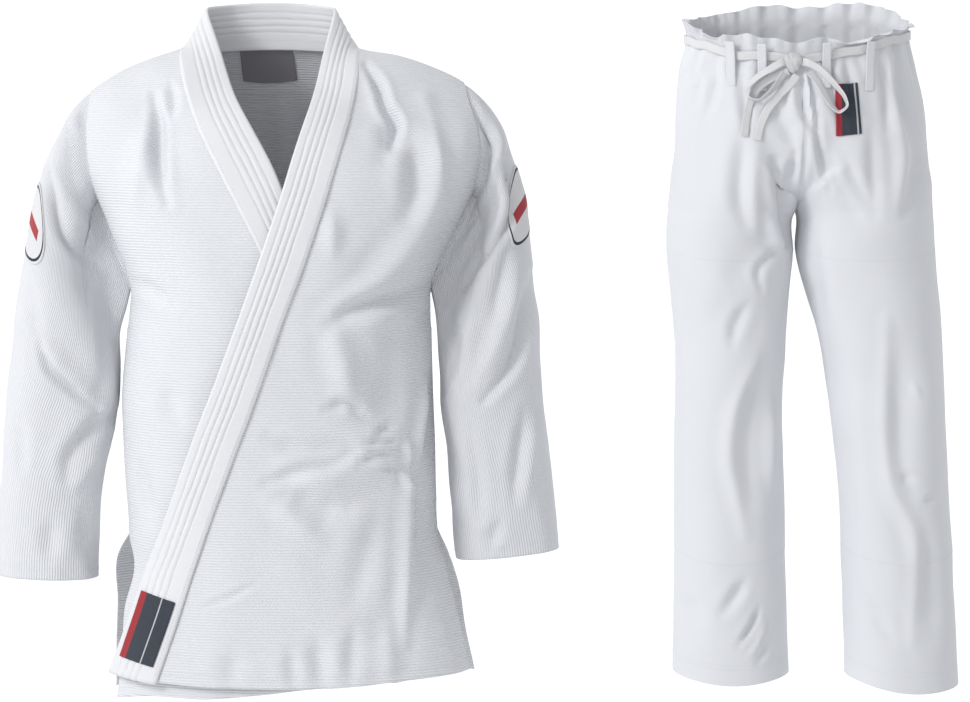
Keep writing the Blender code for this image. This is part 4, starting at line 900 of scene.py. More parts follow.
def build_collar():
    across = np.linspace(0, 1, BAND_COLS)
    rows = []
    for seam, free, raised in ((TOP_SEAM, TOP_FREE, True), (UNDER_SEAM, UNDER_FREE, False)):
        steps = np.linspace(0, 1, LAPEL_ROWS)
        steps = steps[::-1] if raised else steps
        neck_x = NECK_X[1] if raised else NECK_X[0]
        shoulder = (neck_x, float(ridge_height(np.array(neck_x))) - 0.3)
        q, r = path([shoulder] + seam, steps), path(free, steps)
        xz = q[:, None] + (r - q)[:, None] * across[None, :, None]
        n = body_normal(xz, True)
        relief = body_relief(xz, True, body_depth(xz[..., 0], xz[..., 1], True))
        height = BAND_BASE + BAND_CLOTH / 2 + (lift(xz) if raised else 0.0) + 0.55 * relief
        on_body = body(xz, True) + n * height[..., None]
        stand_q = np.array([q[:, 0], on_body[:, 0, 1], q[:, 1]]).T
        stand_r = np.array([r[:, 0], curve((-160, -66, 6, 30), (-112, -70, -27, -14), r[:, 1]), r[:, 1]]).T
        ruled = stand_q[:, None] + (stand_r - stand_q)[:, None] * across[None, :, None]
        w = smooth(-30, -105, r[:, 1])[:, None, None]
        rows.append(w * on_body + (1 - w) * ruled)
    mid, half = (NECK_X[0] + NECK_X[1]) / 2, (NECK_X[1] - NECK_X[0]) / 2
    neck = []
    for turn in np.linspace(0, math.pi, NECK_ROWS):
        s = np.array(neck_station(mid + half * math.cos(turn)))
        neck.append(s[:3] + (s[3:] - s[:3]) * across[:, None])
    p = np.concatenate([rows[0], np.array(neck), rows[1]], axis=0)
    for join in (LAPEL_ROWS, LAPEL_ROWS + NECK_ROWS):
        even_out(p, join, 5)
    n = normals(p)
    if n[60, BAND_COLS // 2, 1] > 0:
        n = -n
    p = p + n * 0.8 * np.sin(math.pi * across)[None, :, None] ** 0.5
    width = np.linalg.norm(p[:, -1] - p[:, 0], axis=1)[:, None]
    along = np.concatenate([[0], np.cumsum(np.linalg.norm(np.diff(p[:, BAND_COLS // 2], axis=0), axis=1))])[:, None]
    quilt = np.zeros(p.shape[:2])
    for k, share in enumerate(CHANNELS):
        wander = share + 0.006 * np.sin(along / 23.0 + 2.1 * k) + 0.004 * np.sin(along / 7.9 + k)
        off = (across[None] - wander) * width
        pucker = 1 + 0.25 * np.sin(along / 2.3 + 1.3 * k)
        quilt -= (1.05 * np.exp(-(off / 1.25) ** 2)) * pucker
    pillow = 0.45 * np.abs(np.sin(math.pi * (across - CHANNELS[0]) / 0.143))
    quilt += pillow[None] * (across > CHANNELS[0]) * (across < CHANNELS[-1])
    quilt -= 0.9 * np.exp(-((across[None]) * width / 2.2) ** 2)
    round_edge = np.sqrt(np.clip(1 - np.clip((across - 0.955) / 0.045, 0, 1) ** 2, 0, 1))
    thick = BAND_CLOTH / 2 * (0.25 + 0.75 * round_edge)
    uv = grid_uv(p)[..., ::-1]
    cloth("jacket_collar", p, n, -(thick[None] + 0.6 * quilt), thick[None] + quilt, uv, BAND_WEAVE)
    face = p + n * (thick[None] + quilt)[..., None]
    last = p.shape[0] - 1
    rows_at = np.linspace(2, last - 2, 2400)
    for k, share in enumerate(CHANNELS):
        STITCHED.append(sew(face, n, rows_at, share * (BAND_COLS - 1), 0.15))
    STITCHED.append(sew(face, n, rows_at, 0.06 * (BAND_COLS - 1), 0.1))
    back = p - n * (thick[None] + 0.6 * quilt)[..., None]
    neck_at = np.linspace(LAPEL_ROWS - 30, LAPEL_ROWS + NECK_ROWS + 30, 700)
    for share in (*CHANNELS, 0.2):
        STITCHED.append(sew(back, -n, neck_at, share * (BAND_COLS - 1), 0.15))
    return p, n, thick, quilt


COLLAR = build_collar()


def patch_piece(node, corners, surface, low, high, mat, cols=26, rows=44):
    """Sewn patch with four (x, z) corners laid over a surface."""
    c = [np.array(k, float) for k in corners]
    u = np.linspace(0, 1, cols)[None, :, None]
    v = np.linspace(0, 1, rows)[:, None, None]
    xz = (1 - v) * ((1 - u) * c[0] + u * c[1]) + v * ((1 - u) * c[3] + u * c[2])
    p, n = surface(xz)
    edge = np.minimum(np.minimum(u, 1 - u) * 38, np.minimum(v, 1 - v) * 85)[..., 0]
    swell = 0.5 * np.exp(-((edge - 1.2) / 1.1) ** 2)
    wide = np.linalg.norm(p[0, -1] - p[0, 0])
    tall = np.linalg.norm(p[-1, 0] - p[0, 0])
    uv = np.stack(np.broadcast_arrays(u[..., 0] * wide, -v[..., 0] * tall), axis=-1)
    return cloth(node, p, n, low, high + swell, uv, mat)


def on_top_lapel(xz):
    n = body_normal(xz, True)
    relief = body_relief(xz, True, body_depth(xz[..., 0], xz[..., 1], True))
    return body(xz, True) + n * (BAND_BASE + BAND_CLOTH + 0.8 + lift(xz) + 0.55 * relief)[..., None], n


HEM_PATCH = patch_cloth("hem_patch_weave", (0.045, 0.055, 0.075), (0.42, 0.035, 0.045), 9.5, (0.62, 0.64, 0.66), 33.0)
hem_patch = patch_piece("hem_patch", ((-149, -696), (-109, -706), (-137, -789), (-177, -780)), on_top_lapel, 0.4,
                        1.5, HEM_PATCH)


def build_neck_label():
    """Grey label inside the back, below the collar."""
    p, n = BACK_GRID
    mid = p.shape[1] // 2
    cols = np.interp([-42.0, 27.0], p[10, :, 0], np.arange(p.shape[1]))
    rows = np.interp([3.0, 43.0], -p[:, mid, 2], np.arange(p.shape[0]))
    i, j = np.meshgrid(np.linspace(*rows, 24), np.linspace(*cols, 34), indexing="ij")
    sag = np.sin(math.pi * (j - cols[0]) / (cols[1] - cols[0])) * (i - rows[0]) / (rows[1] - rows[0])
    i = i + 0.9 * sag
    q, m = sew(p, n, i.ravel(), j.ravel(), 0.0)
    q, m = q.reshape(*i.shape, 3), m.reshape(*i.shape, 3)
    stand = 0.7 + 1.4 * sag
    obj = cloth("neck_label", q, -m, stand, stand + 0.7, grid_uv(q), LABEL_SATIN)
    return obj


neck_label = build_neck_label()

# Trousers
HIP_RIGHT = [(60, 539), (16, 535), (-3, 533), (-47, 527), (-84, 525), (-142, 523), (-188, 517), (-263, 514),
             (-316, 519), (-380, 525), (-521, 525), (-668, 525.5), (-757, 525), (-840, 524)]
HIP_LEFT = [(60, 824), (8, 826), (-27, 830), (-56, 837), (-90, 844), (-136, 849), (-229, 857), (-309, 863),
            (-380, 870), (-462, 874), (-609, 883), (-726, 890), (-840, 898)]
INNER_RIGHT = HIP_LEFT[:4] + [(-100, 806), (-150, 735), (-185, 694), (-212, 677), (-263, 675), (-299, 672),
                              (-345, 669), (-403, 665), (-491, 663), (-579, 667), (-668, 669), (-747, 672),
                              (-840, 676)]
INNER_LEFT = HIP_RIGHT[:4] + [(-100, 560), (-150, 628), (-185, 665), (-212, 680), (-263, 681), (-276, 683),
                              (-316, 694), (-363, 709), (-432, 722), (-491, 730), (-579, 740), (-668, 744),
                              (-757, 748), (-840, 750)]
LEG_DEPTH_FRONT = [(60, 92), (-20, 94), (-100, 102), (-180, 96), (-260, 86), (-420, 76), (-600, 72), (-840, 70)]
LEG_DEPTH_BACK = [(60, 92), (-20, 96), (-110, 118), (-190, 108), (-280, 90), (-420, 76), (-600, 72), (-840, 70)]
RISE_X = 678.5
CROTCH_Z = -212.0
TROUSER_FOLDS = [
    (712, -100, 752, -235, 20, 5.0), (628, -80, 650, -178, 18, 4.0), (824, -110, 850, -240, 20, 4.5),
    (560, -70, 556, -200, 20, 4.0), (640, -236, 590, -300, 22, 4.0), (760, -80, 790, -190, 20, 3.5),
    (560, -330, 640, -360, 24, 3.5), (748, -420, 836, -446, 24, 3.5),
]
TROUSER_CREASES = [
    (5, 4.5, [(678, -30), (677, -62), (684, -91), (692, -106)]),
    (4, 4, [(686, -30), (695, -93), (702, -138), (716, -184)]),
    (4, -3, [(682, -37), (689, -74), (694, -112)]),
    (3.5, 2, [(683, -106), (682, -150), (681, -182)]),
    (7, 3, [(704, -125), (721, -169)]),
    (6, 2.5, [(734, -144), (748, -172), (762, -201)]),
    (7, 7, [(644, -144), (652, -178), (661, -213), (666, -252)]),
    (6, 5, [(670, -138), (664, -169), (658, -194)]),
    (9, 4, [(636, -58), (646, -87), (659, -106), (670, -131)]),
    (10, 4, [(604, -108), (601, -150), (601, -188), (608, -222)]),
    (9, -3, [(616, -144), (616, -194), (623, -232)]),
    (5, 3, [(665, -254), (640, -268), (626, -283), (630, -311)]),
    (7, -4, [(637, -213), (650, -245), (660, -264)]),
    (7, 3, [(612, -328), (597, -356), (592, -379)]),
    (13, 8, [(801, -5), (810, -62), (826, -100), (835, -140), (823, -182), (812, -207)]),
    (8, -4, [(793, -18), (799, -81), (806, -144), (803, -207)]),
    (6, 3, [(575, -37), (565, -68), (557, -91)]),
    (6, 3.5, [(601, -37), (605, -68), (607, -106)]),
    (5, 3.5, [(625, -20), (628, -53), (623, -74)]),
    (5, 3.5, [(651, -37), (655, -62), (657, -83)]),
    (6, 4, [(709, -20), (716, -55), (724, -81), (730, -106)]),
    (6, 3.5, [(734, -18), (738, -49), (739, -81)]),
    (6, 3.5, [(777, -11), (785, -55), (788, -106)]),
    (6, 3, [(550, -43), (546, -81)]),
    (8, 3, [(765, -106), (768, -156), (771, -213)]),
    (9, -3, [(624, -401), (609, -433), (597, -468), (591, -522), (600, -571), (611, -625)]),
    (16, 5, [(638, -411), (625, -449), (619, -507), (623, -578)]),
    (6, -3, [(646, -456), (645, -513), (647, -571)]),
    (7, 4, [(612, -685), (598, -707), (582, -728)]),
    (4, 4, [(632, -720), (620, -746), (603, -769)]),
    (3.5, -2.5, [(641, -739), (626, -772), (616, -785)]),
    (4, 2.5, [(646, -765), (628, -794)]),
    (9, -3, [(789, -347), (790, -424), (791, -507), (802, -571), (824, -612), (828, -765)]),
    (18, 4, [(810, -373), (811, -449), (811, -513), (823, -565)]),
    (15, 4, [(847, -629), (851, -694), (854, -759)]),
    (4, -2, [(824, -431), (835, -447)]),
    (6, 3, [(810, -549), (828, -555)]),
    (5, 2, [(840, -584), (859, -576)]),
    (8, 2.5, [(765, -707), (784, -733), (801, -759)]),
    (12, 3, [(541, -707), (550, -759)]),
    (10, 3, [(697, -245), (701, -296), (712, -347)]),
]
TROUSER_BACK_CREASES = [
    (6, 3.5, [(560, -20), (556, -60), (552, -100)]), (6, 4, [(592, -14), (590, -60), (584, -104)]),
    (6, 3.5, [(626, -12), (628, -54), (632, -96)]), (6, 4, [(660, -12), (664, -60), (668, -110)]),
    (6, 4, [(700, -12), (700, -60), (696, -106)]), (6, 3.5, [(734, -14), (738, -58), (740, -96)]),
    (6, 4, [(770, -16), (776, -64), (782, -110)]), (6, 3.5, [(802, -20), (808, -60), (814, -100)]),
    (9, 5, [(640, -200), (606, -236), (556, -262)]), (9, 5, [(716, -204), (754, -238), (812, -262)]),
    (10, -4, [(634, -176), (590, -206), (546, -222)]), (10, -4, [(724, -176), (770, -206), (820, -226)]),
    (8, 4, [(650, -262), (618, -292), (572, -308)]), (8, 4, [(706, -266), (744, -300), (800, -318)]),
    (8, 4, [(546, -420), (590, -446), (644, -440)]), (8, 4, [(752, -436), (800, -462), (858, -452)]),
    (8, 3.5, [(544, -474), (588, -492), (636, -482)]), (8, 3.5, [(762, -490), (806, -506), (862, -494)]),
    (10, 3, [(560, -620), (566, -700), (562, -780)]), (10, 3, [(620, -600), (616, -690), (622, -780)]),
    (10, 3, [(786, -620), (790, -700), (796, -780)]), (10, 3, [(846, -610), (852, -690), (856, -780)]),
]


def trouser_depth(x, z, right, front, folds=True):
    out_x = by_height(HIP_RIGHT if right else HIP_LEFT, z)
    in_x = by_height(INNER_RIGHT if right else INNER_LEFT, z)
    mid, half = (out_x + in_x) / 2, (in_x - out_x) / 2
    xi = np.clip((x - mid) / half, -1, 1)
    deep = by_height(LEG_DEPTH_FRONT if front else LEG_DEPTH_BACK, z)
    out = deep * (1 - np.abs(xi) ** 2.3) ** (1 / 2.05)
    if front and folds:
        out = out - folds_at(TROUSER_FOLDS, x, z) * smooth(0, 40, out)
    return out


def leg(xz, right, front):
    d = 0.1 + trouser_depth(xz[..., 0], xz[..., 1], right, front)
    return np.stack([xz[..., 0], -d if front else d, xz[..., 1]], axis=-1)


def trouser_relief(x, z, depth, front):
    table = TROUSER_CREASES if front else TROUSER_BACK_CREASES
    out = TROUSER_DEPTH * creases(table, x, z) + 0.9 * ripple(x, z, 85, 11 if front else 12)
    return out * smooth(0, 24, depth)


LEG_TOP_ROWS, LEG_LOW_ROWS, LEG_COLS = 56, 132, 66
WAIST_FOOT = -49.8      # height of the seamless join of the waist and the legs


def build_leg(node, right, front):
    hip = HIP_RIGHT if right else HIP_LEFT
    inner = INNER_RIGHT if right else INNER_LEFT
    gap = -0.1 if right else 0.1
    zs = np.concatenate([np.linspace(WAIST_FOOT, CROTCH_Z, LEG_TOP_ROWS + 1),
                         np.linspace(CROTCH_Z, -812, LEG_LOW_ROWS + 1)[1:]])
    hem_out = -812 if right else -828
    hem_in = -812 if right else -816
    us = rounded(LEG_COLS, both=True)
    xz = np.zeros((len(zs), len(us), 2))
    for i, z in enumerate(zs):
        stretch = (z + 50) / (-812 + 50)
        z_out = z + (hem_out + 812) * max(0.0, stretch) ** 3
        z_in = z + (hem_in + 812) * max(0.0, stretch) ** 3
        x_out = float(by_height(hip, z_out))
        x_in = RISE_X + gap if z > CROTCH_Z + 1 else float(by_height(inner, z_in))
        above = smooth(CROTCH_Z, -60, np.array(z))
        share = (1 - above) * us + above * (1 - rounded(LEG_COLS)[::-1])
        xz[i, :, 0] = x_out + (x_in - x_out) * share
        dip = (10.0 if front else 4.0) * stretch ** 4 * np.sin(math.pi * share)
        xz[i, :, 1] = z_out + (z_in - z_out) * share - dip
    p = leg(xz, right, front)
    other = leg(xz, not right, front)
    near = smooth(60, 0, np.abs(xz[..., 0] - RISE_X)) * smooth(0, 70, np.abs(other[..., 1])) / 2
    near = near * (xz[..., 1] >= CROTCH_Z - 1)
    p[..., 1] += (other[..., 1] - p[..., 1]) * near
    n = normals(p)
    if (n[70, LEG_COLS // 2, 1] > 0) == front:
        n = -n
    square_cut(n, (slice(None), 0))
    square_cut(n, (slice(0, LEG_TOP_ROWS + 1), -1), axis=0)
    square_cut(n, (slice(LEG_TOP_ROWS, None), -1))
    n[..., 2] *= smooth(WAIST_FOOT, WAIST_FOOT - 25, xz[..., 1])
    n = unit(n)
    relief = trouser_relief(xz[..., 0], xz[..., 1], np.abs(p[..., 1]), front)
    knee = np.zeros_like(relief)
    if front:
        for edge_z, step in ((-258, 1), (-650, -1)):
            line_z = edge_z - 14 * np.sin(math.pi * np.linspace(0, 1, LEG_COLS))[None]
            knee += 0.35 * step * np.tanh((line_z - xz[..., 1]) / 1.2)
        knee -= 0.7
    high = relief + TROUSER_CLOTH / 2 + 0.6 * (knee + 0.7 if front else 0)
    cloth(node, p, n, relief - TROUSER_CLOTH / 2, high, grid_uv(p), TROUSER_TWILL, lip=0.02)
    face = p + n * high[..., None]
    cols = np.linspace(1, LEG_COLS - 2, 200)
    last = len(zs) - 1
    for up in (4.5, 5.6):
        STITCHED.append(sew(face, n, last - up, cols, 0.0))
    if front:
        for edge_z in (-258, -650):
            line_z = edge_z - 14 * np.sin(math.pi * cols / (LEG_COLS - 1))
            rows = np.interp(-line_z, -xz[:, LEG_COLS // 2, 1], np.arange(len(zs)))
            STITCHED.append(sew(face, n, rows, cols, 0.05))


for part_name, is_right, is_front in (("leg_front_right", True, True), ("leg_front_left", False, True),
                                      ("leg_back_right", True, False), ("leg_back_left", False, False)):
    build_leg(part_name, is_right, is_front)

# Waist: gathered cloth above the legs, pinched by the tape
CORD_FRONT = [(530, 8), (554, 1), (583, -9), (630, -13), (674, -17), (706, -13), (759, -2), (800, 8), (826, 14)]
CORD_BACK = [(530, 8), (560, 16), (600, 24), (678, 30), (760, 30), (800, 24), (826, 14)]
TOP_FRONT = [(530, 34), (564, 12), (593, 15), (644, 8), (675, 4), (700, 11), (738, 2), (776, 14), (826, 28)]
TOP_BACK = [(530, 34), (567, 40), (598, 45), (640, 54), (692, 51), (784, 54), (810, 44), (826, 28)]
WAVES = 12


def waist(a, z, out, front):
    """Point of the waist at turn a (0..pi across the width), height z, moved out."""
    left, right = by_height(HIP_RIGHT, z), by_height(HIP_LEFT, z)
    mid, half = (left + right) / 2, (right - left) / 2
    c = np.cos(a)
    deep = by_height(LEG_DEPTH_FRONT if front else LEG_DEPTH_BACK, z)
    y = 0.1 + deep * (1 - np.abs(c) ** 2.3) ** (1 / 2.05)
    normal = unit(np.stack([-c * deep, np.sin(a) * half], axis=-1))
    x = mid - half * c + normal[..., 0] * out
    y = y + normal[..., 1] * out
    return np.stack([x, -y if front else y, z + 0 * x], axis=-1)


def cord_height(a, front):
    table = CORD_FRONT if front else CORD_BACK
    return curve([r[0] for r in table], [r[1] for r in table], 678 - 147 * np.cos(a))


def build_waist(node, front):
    cols = 30 * WAVES + 1
    a = np.linspace(0, math.pi, cols)
    table = TOP_FRONT if front else TOP_BACK
    top = curve([r[0] for r in table], [r[1] for r in table], 678 - 147 * np.cos(a))
    cord = cord_height(a, front)
    seed = 0.0 if front else 1.7
    wave = np.sin(2 * WAVES * a) * (0.75 + 0.25 * np.sin(3.1 * a + seed)) + 0.2 * np.sin(7 * a + seed)
    wave = wave + 0.28 * np.sin(4 * WAVES * a + 1.1 * np.sin(5 * a + seed))
    wave = wave * smooth(0, 0.12, a) * smooth(0, 0.12, math.pi - a)
    levels = [  # height, moved out, wave
        (0 * a + WAIST_FOOT, 0.0, 0.0), ((cord - 60) / 2, -0.5, 1.6), (cord - 11, -3.4, 1.7), (cord, -4.0, 0.7),
        (cord + 10, -3.0, 1.8), (top, 2.0, 5.2)]
    marks = np.array([0, 1, 2, 3, 4, 5], float)
    fine = np.linspace(0, 5, 26)
    zs = np.stack([z + 0 * a for z, _, _ in levels])
    outs = np.array([out for _, out, _ in levels])
    amps = np.array([amp for _, _, amp in levels])
    z = np.stack([curve(marks, zs[:, k], fine) for k in range(cols)], axis=1)
    out = curve(marks, outs, fine)[:, None] + curve(marks, amps, fine)[:, None] * wave[None]
    frill = smooth(4, 5, fine)[:, None]
    z = z + frill * 1.6 * np.sin(2 * WAVES * a + 1.0)[None] * np.sin(1.7 * a + seed)[None]
    p = waist(np.broadcast_to(a, z.shape), z, out, front)
    n = normals(p)
    if (n[4, cols // 2, 1] > 0) == front:
        n = -n
    square_cut(n, (slice(None), 0))
    square_cut(n, (slice(None), -1))
    n[..., 2] *= smooth(WAIST_FOOT, WAIST_FOOT + 15, p[..., 2])
    n = unit(n)
    relief = trouser_relief(p[..., 0], p[..., 2], np.abs(p[..., 1]), front) * smooth(12, -6, p[..., 2] - cord[None])
    cloth(node, p, n, relief - TROUSER_CLOTH / 2, relief + TROUSER_CLOTH / 2, grid_uv(p), TROUSER_TWILL,
          lip=0.02)
    return p + n * relief[..., None], n


WAIST_FRONT = build_waist("waist_front", True)
WAIST_BACK = build_waist("waist_back", False)


def ribbon(name, node, centre, across, width, thick, mat, cols=7):
    """Flat tape along centre points, its width along the across directions."""
    across = unit(np.asarray(across, float))
    along = np.gradient(centre, axis=0)
    n = unit(np.cross(along, across))
    across = unit(np.cross(n, along))
    shares = np.linspace(-0.5, 0.5, cols)
    p = centre[:, None] + across[:, None] * (shares * width)[None, :, None]
    n = np.repeat(n[:, None], cols, axis=1)
    obj = surface_mesh(name, p + n * thick / 2, p - n * thick / 2, grid_uv(p), mat)
    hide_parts(node)
    return obj, p, n


def build_tape():
    """Drawstring round the waist, open in front where it is knotted."""
    gap = 0.02
    mid = math.acos((678 - 666) / 147)
    pts = []
    for turns, front in ((np.linspace(mid + gap, math.pi, 110), True),
                         (np.linspace(math.pi, 0, 220)[1:-1], False),
                         (np.linspace(0, mid - gap, 110), True)):
        sway = 0.8 * np.sin(11 * turns) + 0.5 * np.sin(23 * turns + 1)
        pts.append(waist(turns, cord_height(turns, front) + sway * smooth(0, 0.2, np.abs(turns - mid)), -0.4, front))
    centre = np.concatenate(pts)
    up = np.tile([0.0, 0.0, 1.0], (len(centre), 1))
    tape, p, _ = ribbon("drawstring_tape", "drawstring", centre, up, 10.0, 1.4, TAPE_WEAVE)


build_tape()


def front_point(x, z, out):
    """Point in front of the trousers at (x, z), moved out of the cloth."""
    xz = np.array([[x, z]], float)
    right = x < RISE_X
    p = (leg(xz, True, True) + leg(xz, False, True)) / 2 if abs(x - RISE_X) < 30 else leg(xz, right, True)
    return p[0] + np.array([0, -out, 0])


def build_belt_loop(node, x, top, foot, front=True, foot_out=1.7):
    shares = np.linspace(0, 1, 7)
    fine = np.linspace(0, 1, 34)
    zs = top + (foot - top) * fine
    outs = curve(shares, [7.4, 5.6, 4.2, 3.6, 3.4, 2.6, foot_out], fine)
    rows = []
    for z, out in zip(zs, outs):
        pts = []
        for dx in np.linspace(-5.0, 5.0, 9):
            if front:
                pts.append(front_point(x + dx, z, 0.0))
            else:
                d = 0.25 + trouser_depth(np.array(x + dx), np.array(z), x < RISE_X, False)
                pts.append([x + dx, float(d), z])
        pts = np.array(pts)
        across = pts[-1] - pts[0]
        n = unit(np.array([across[1], -across[0], 0.0]))
        if (n[1] > 0) == front:
            n = -n
        rows.append(pts + n * out)
    p = np.array(rows)
    n = normals(p)
    if (n[15, 4, 1] > 0) == front:
        n = -n
    obj = surface_mesh(node + "_strap", p + n * 0.75, p - n * 0.7, grid_uv(p), TROUSER_TWILL)
    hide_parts(node)
    for edge in (1.0, 7.0):
        STITCHED.append(sew(p + n * 0.75, n, np.linspace(1, 32, 60), edge, 0.0))
    for row in (1.5, 31.0):
        STITCHED.append(sew(p + n * 0.75, n, row, np.linspace(0.5, 7.5, 20), 0.0))


for k, (x, top, foot) in enumerate(((590, 5, -50), (628, 2, -56), (708, 3, -52), (763, 5, -56))):
    build_belt_loop("belt_loop_front_%d" % (k + 1), x, top, foot)
for k, (x, foot_out) in enumerate(((610, 1.7), (746, 0.7))):
    build_belt_loop("belt_loop_back_%d" % (k + 1), x, 44, -14, front=False, foot_out=foot_out)

# Bow: knot, two loops and two tails: x, z, moved out, tilt of the tape to the front (degrees)
BOW = {
    "bow_loop_right": [(654.4, -20, 6.6, 10), (647, -23, 10.5, 30), (638, -28, 12, 30), (626, -35, 13, 40),
                       (614, -45, 13, 55), (607, -56, 13, 75), (611, -65, 13, 80), (620, -68, 12.5, 75),
                       (632, -62, 12, 60), (643, -50, 11.5, 45), (650, -40, 11.5, 30), (654, -34, 11.5, 25)],
    "bow_loop_left": [(677.7, -20, 6.6, 10), (685, -22, 11, 30), (695, -27, 12, 35), (707, -37, 12, 45),
                      (720, -51, 11, 55), (731, -66, 10, 70), (733, -76, 9, 80), (726, -82, 8, 75),
                      (716, -77, 8, 55), (706, -62, 8, 40), (696, -45, 7.5, 35), (686, -33, 6.5, 35)],
    "bow_tail_right": [(659.3, -31.6, 6.4, 5), (651, -35, 6.4, 5), (640, -40, 6.5, 5), (624, -51, 6.6, 5),
                       (613, -68, 6, 5), (608, -88, 4.4, 5), (605, -113, 4, 5)],
    "bow_tail_left": [(670.5, -37.0, 5.0, 5), (664, -46, 4.4, 5), (648, -62, 4.4, 5), (634, -80, 4.2, 5),
                      (626, -98, 4, 5), (621, -118, 4, 5)],
}
for node, rows in BOW.items():
    steps = np.linspace(0, 1, 90 if "loop" in node else 60)
    smooth_rows = path(rows, steps)
    centre = np.array([front_point(r[0], r[1], r[2]) for r in smooth_rows])
    flat = unit(np.gradient(smooth_rows[:, :2], axis=0))
    tilt = np.radians(smooth_rows[:, 3])
    across = np.stack([-flat[:, 1] * np.cos(tilt), -np.sin(tilt), flat[:, 0] * np.cos(tilt)], axis=1)
    piece, _, _ = ribbon(node + "_tape", node, centre, across, 9.0, 1.2, TAPE_WEAVE)


def build_knot():
    """Knot of the bow: a rounded core with the tape's turns pressed into it."""
    bpy.ops.mesh.primitive_uv_sphere_add(segments=64, ring_count=40, radius=1.0)
    knot = bpy.context.object
    knot.name = "bow_knot_tape"
    centre = front_point(666, -20, 6.3)
    for v in knot.data.vertices:
        turn = math.atan2(v.co.z, v.co.x)
        lump = 1 + 0.10 * math.sin(3 * turn) * (1 - v.co.y ** 2)
        wrap = abs(math.sin(2.2 * v.co.x + 1.1 * v.co.z + 0.4))
        lump *= 1 - 0.16 * (1 - wrap) ** 3
        v.co = Vector([(centre[k] + size * lump * v.co[k]) * MM for k, size in enumerate((11, 5.6, 13))])
    knot.data.shade_smooth()
    knot.data.materials.clear()
    knot.data.materials.append(TAPE_WEAVE)
    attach(knot, "root")
    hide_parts("bow_knot")
    return knot


build_knot()


def on_trousers(xz):
    d = 0.25 + trouser_depth(xz[..., 0], xz[..., 1], False, True)
    p = np.stack([xz[..., 0], -d, xz[..., 1]], axis=-1)
    n = normals(p)
    if n[2, 2, 1] > 0:
        n = -n
    relief = trouser_relief(xz[..., 0], xz[..., 1], d, True)
    return p + n * 0.6 * relief[..., None], n


TROUSER_PATCH = patch_cloth("trouser_patch_weave", (0.045, 0.055, 0.075), (0.42, 0.035, 0.045), 6.5,
                            (0.62, 0.64, 0.66), 24.0)
patch_piece("trouser_patch", ((720, -49), (747, -47), (752, -110), (721, -113)), on_trousers, 1.2, 2.3,
            TROUSER_PATCH)

ROUND_PATCH = round_patch_cloth("round_patch_weave", (0.74, 0.74, 0.75), (0.03, 0.03, 0.04), (0.42, 0.04, 0.05))


def build_shoulder_patch(node, sleeve, height, radius=46.0, size=30):
    """Round patch laid on the outside of a sleeve."""
    p, n = sleeve
    cols = p.shape[1] - 1
    row = float(np.interp(-height, -p[2:, 0, 2], np.arange(2, p.shape[0])))
    i0 = int(row)
    middle = 10
    around = np.arange(middle - 34, middle + 35)
    down = np.arange(i0 - 30, i0 + 31)
    step = np.linalg.norm(np.diff(p[down, middle], axis=0), axis=1)
    run_down = np.concatenate([[0], np.cumsum(step)])
    run_down -= np.interp(row, down, run_down)
    k = np.linspace(-1, 1, size)
    u, v = np.meshgrid(k, k)
    du, dv = u * np.sqrt(1 - v * v / 2) * radius, v * np.sqrt(1 - u * u / 2) * radius
    y = np.interp(dv, run_down, down)
    x = np.zeros_like(y)
    for a in range(size):
        for b in range(size):
            ring = p[int(round(y[a, b])), around % cols]
            run = np.concatenate([[0], np.cumsum(np.linalg.norm(np.diff(ring, axis=0), axis=1))])
            x[a, b] = np.interp(du[a, b], run - run[34], around)
    i, j = np.floor(y).astype(int), np.floor(x).astype(int)
    fy, fx = (y - i)[..., None], (x - j)[..., None]

    def at(grid):
        return ((1 - fy) * ((1 - fx) * grid[i, j % cols] + fx * grid[i, (j + 1) % cols])
                + fy * ((1 - fx) * grid[i + 1, j % cols] + fx * grid[i + 1, (j + 1) % cols]))
    q, m = at(p), unit(at(n))
    rim = 0.5 * np.exp(-((np.hypot(du, dv) - radius + 1.5) / 1.5) ** 2)
    cloth(node, q, m, 1.2, 2.2 + rim, np.stack([du, dv], axis=-1), ROUND_PATCH)


build_shoulder_patch("shoulder_patch_right", SLEEVE_RIGHT, -217)
build_shoulder_patch("shoulder_patch_left", SLEEVE_LEFT, -194)

stitches("stitching", STITCHED, THREAD)
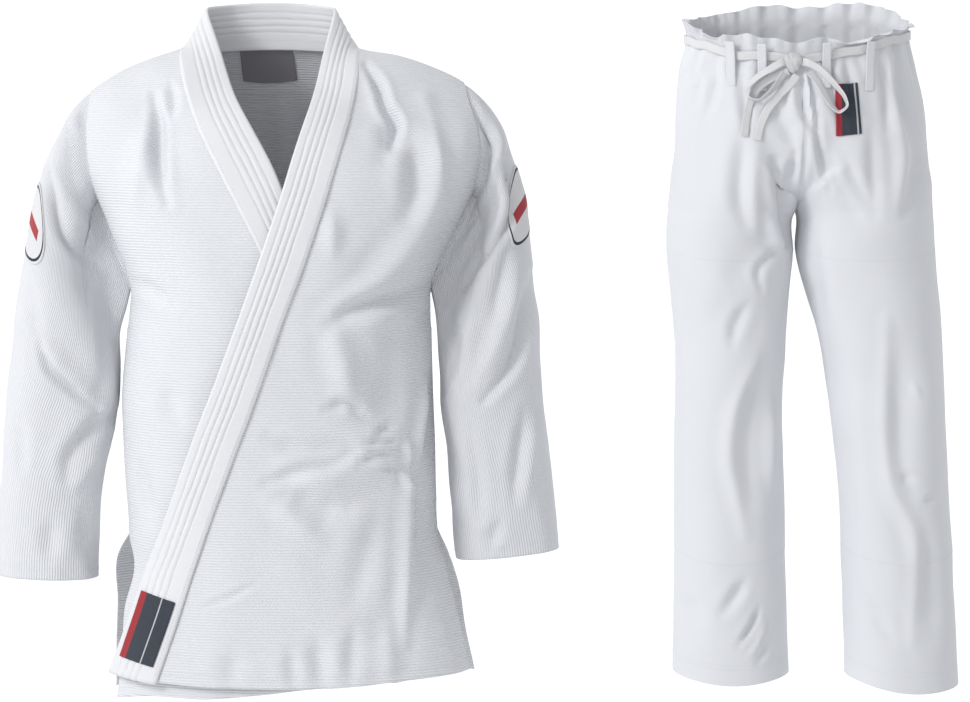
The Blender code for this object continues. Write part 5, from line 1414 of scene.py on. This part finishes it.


# Stage: pale bowl that glows as painted light, more on the left and behind than on the right, and so lights the cloth
# softly
def build_stage():
    turn = np.linspace(0, 2 * math.pi, 97)
    profile = [(0.0, -1.25), (2.0, -1.25), (6.0, -1.25)]
    profile += [(6.0 + 3.0 * math.sin(t), 1.75 - 3.0 * math.cos(t)) for t in np.linspace(0.15, math.pi / 2, 9)]
    profile += [(9.0, 4.0), (9.0, 7.0)]
    verts = [(r * math.cos(a), r * math.sin(a), z) for r, z in profile for a in turn[:-1]]
    count = len(turn) - 1
    faces = [(i * count + k, i * count + (k + 1) % count, (i + 1) * count + (k + 1) % count, (i + 1) * count + k)
             for i in range(len(profile) - 1) for k in range(count)]
    mesh = bpy.data.meshes.new("stage")
    mesh.from_pydata(verts, [], faces)
    mesh.shade_smooth()
    mat = bpy.data.materials.new("stage_painted_glow")
    mat.use_nodes = True
    shader = mat.node_tree.nodes["Principled BSDF"]
    shader.inputs["Base Color"].default_value = (0.5, 0.5, 0.5, 1)
    shader.inputs["Roughness"].default_value = 1.0
    shader.inputs["Specular IOR Level"].default_value = 0.0
    shader.inputs["Emission Color"].default_value = (0.97, 0.985, 1, 1)
    tree = mat.node_tree
    place = tree.nodes.new("ShaderNodeTexCoord")
    split = tree.nodes.new("ShaderNodeSeparateXYZ")
    tree.links.new(place.outputs["Object"], split.inputs[0])
    glow = []
    # Painted light: the bowl's own glow, strongest behind and to the left and weakest to the right, lights the cloth
    # though the bowl is no lamp.
    for axis, low, high, dim, bright in ((0, -4.0, 6.0, 0.66, 0.16), (1, -1.5, 1.8, 0.0, 0.85)):
        ramp = tree.nodes.new("ShaderNodeMapRange")
        for socket, value in zip(ramp.inputs[1:5], (low, high, dim, bright)):
            socket.default_value = value
        tree.links.new(split.outputs[axis], ramp.inputs[0])
        glow.append(ramp.outputs[0])
    strongest = tree.nodes.new("ShaderNodeMath")
    strongest.operation = "MAXIMUM"
    for socket, value in zip(strongest.inputs, glow):
        tree.links.new(value, socket)
    tree.links.new(strongest.outputs[0], shader.inputs["Emission Strength"])
    mesh.materials.append(mat)
    bowl = bpy.data.objects.new("stage", mesh)
    bpy.context.scene.collection.objects.link(bowl)


build_stage()


def area_light(name, place, size, energy, colour=(1, 1, 1)):
    lamp = bpy.data.lights.new(name, "AREA")
    lamp.size = size
    lamp.energy = energy
    lamp.color = colour
    obj = bpy.data.objects.new(name, lamp)
    obj.location = place
    obj.rotation_euler = (TARGET - Vector(place)).to_track_quat("-Z", "Y").to_euler()
    bpy.context.scene.collection.objects.link(obj)


area_light("key", (-3.2, -3.0, 1.9), 1.4, 125)
bpy.context.scene.view_settings.exposure = -0.27
world = bpy.data.worlds.new("studio")
world.use_nodes = True
world.node_tree.nodes["Background"].inputs[0].default_value = (0.97, 0.98, 1.0, 1)
world.node_tree.nodes["Background"].inputs[1].default_value = 0.8
bpy.context.scene.world = world
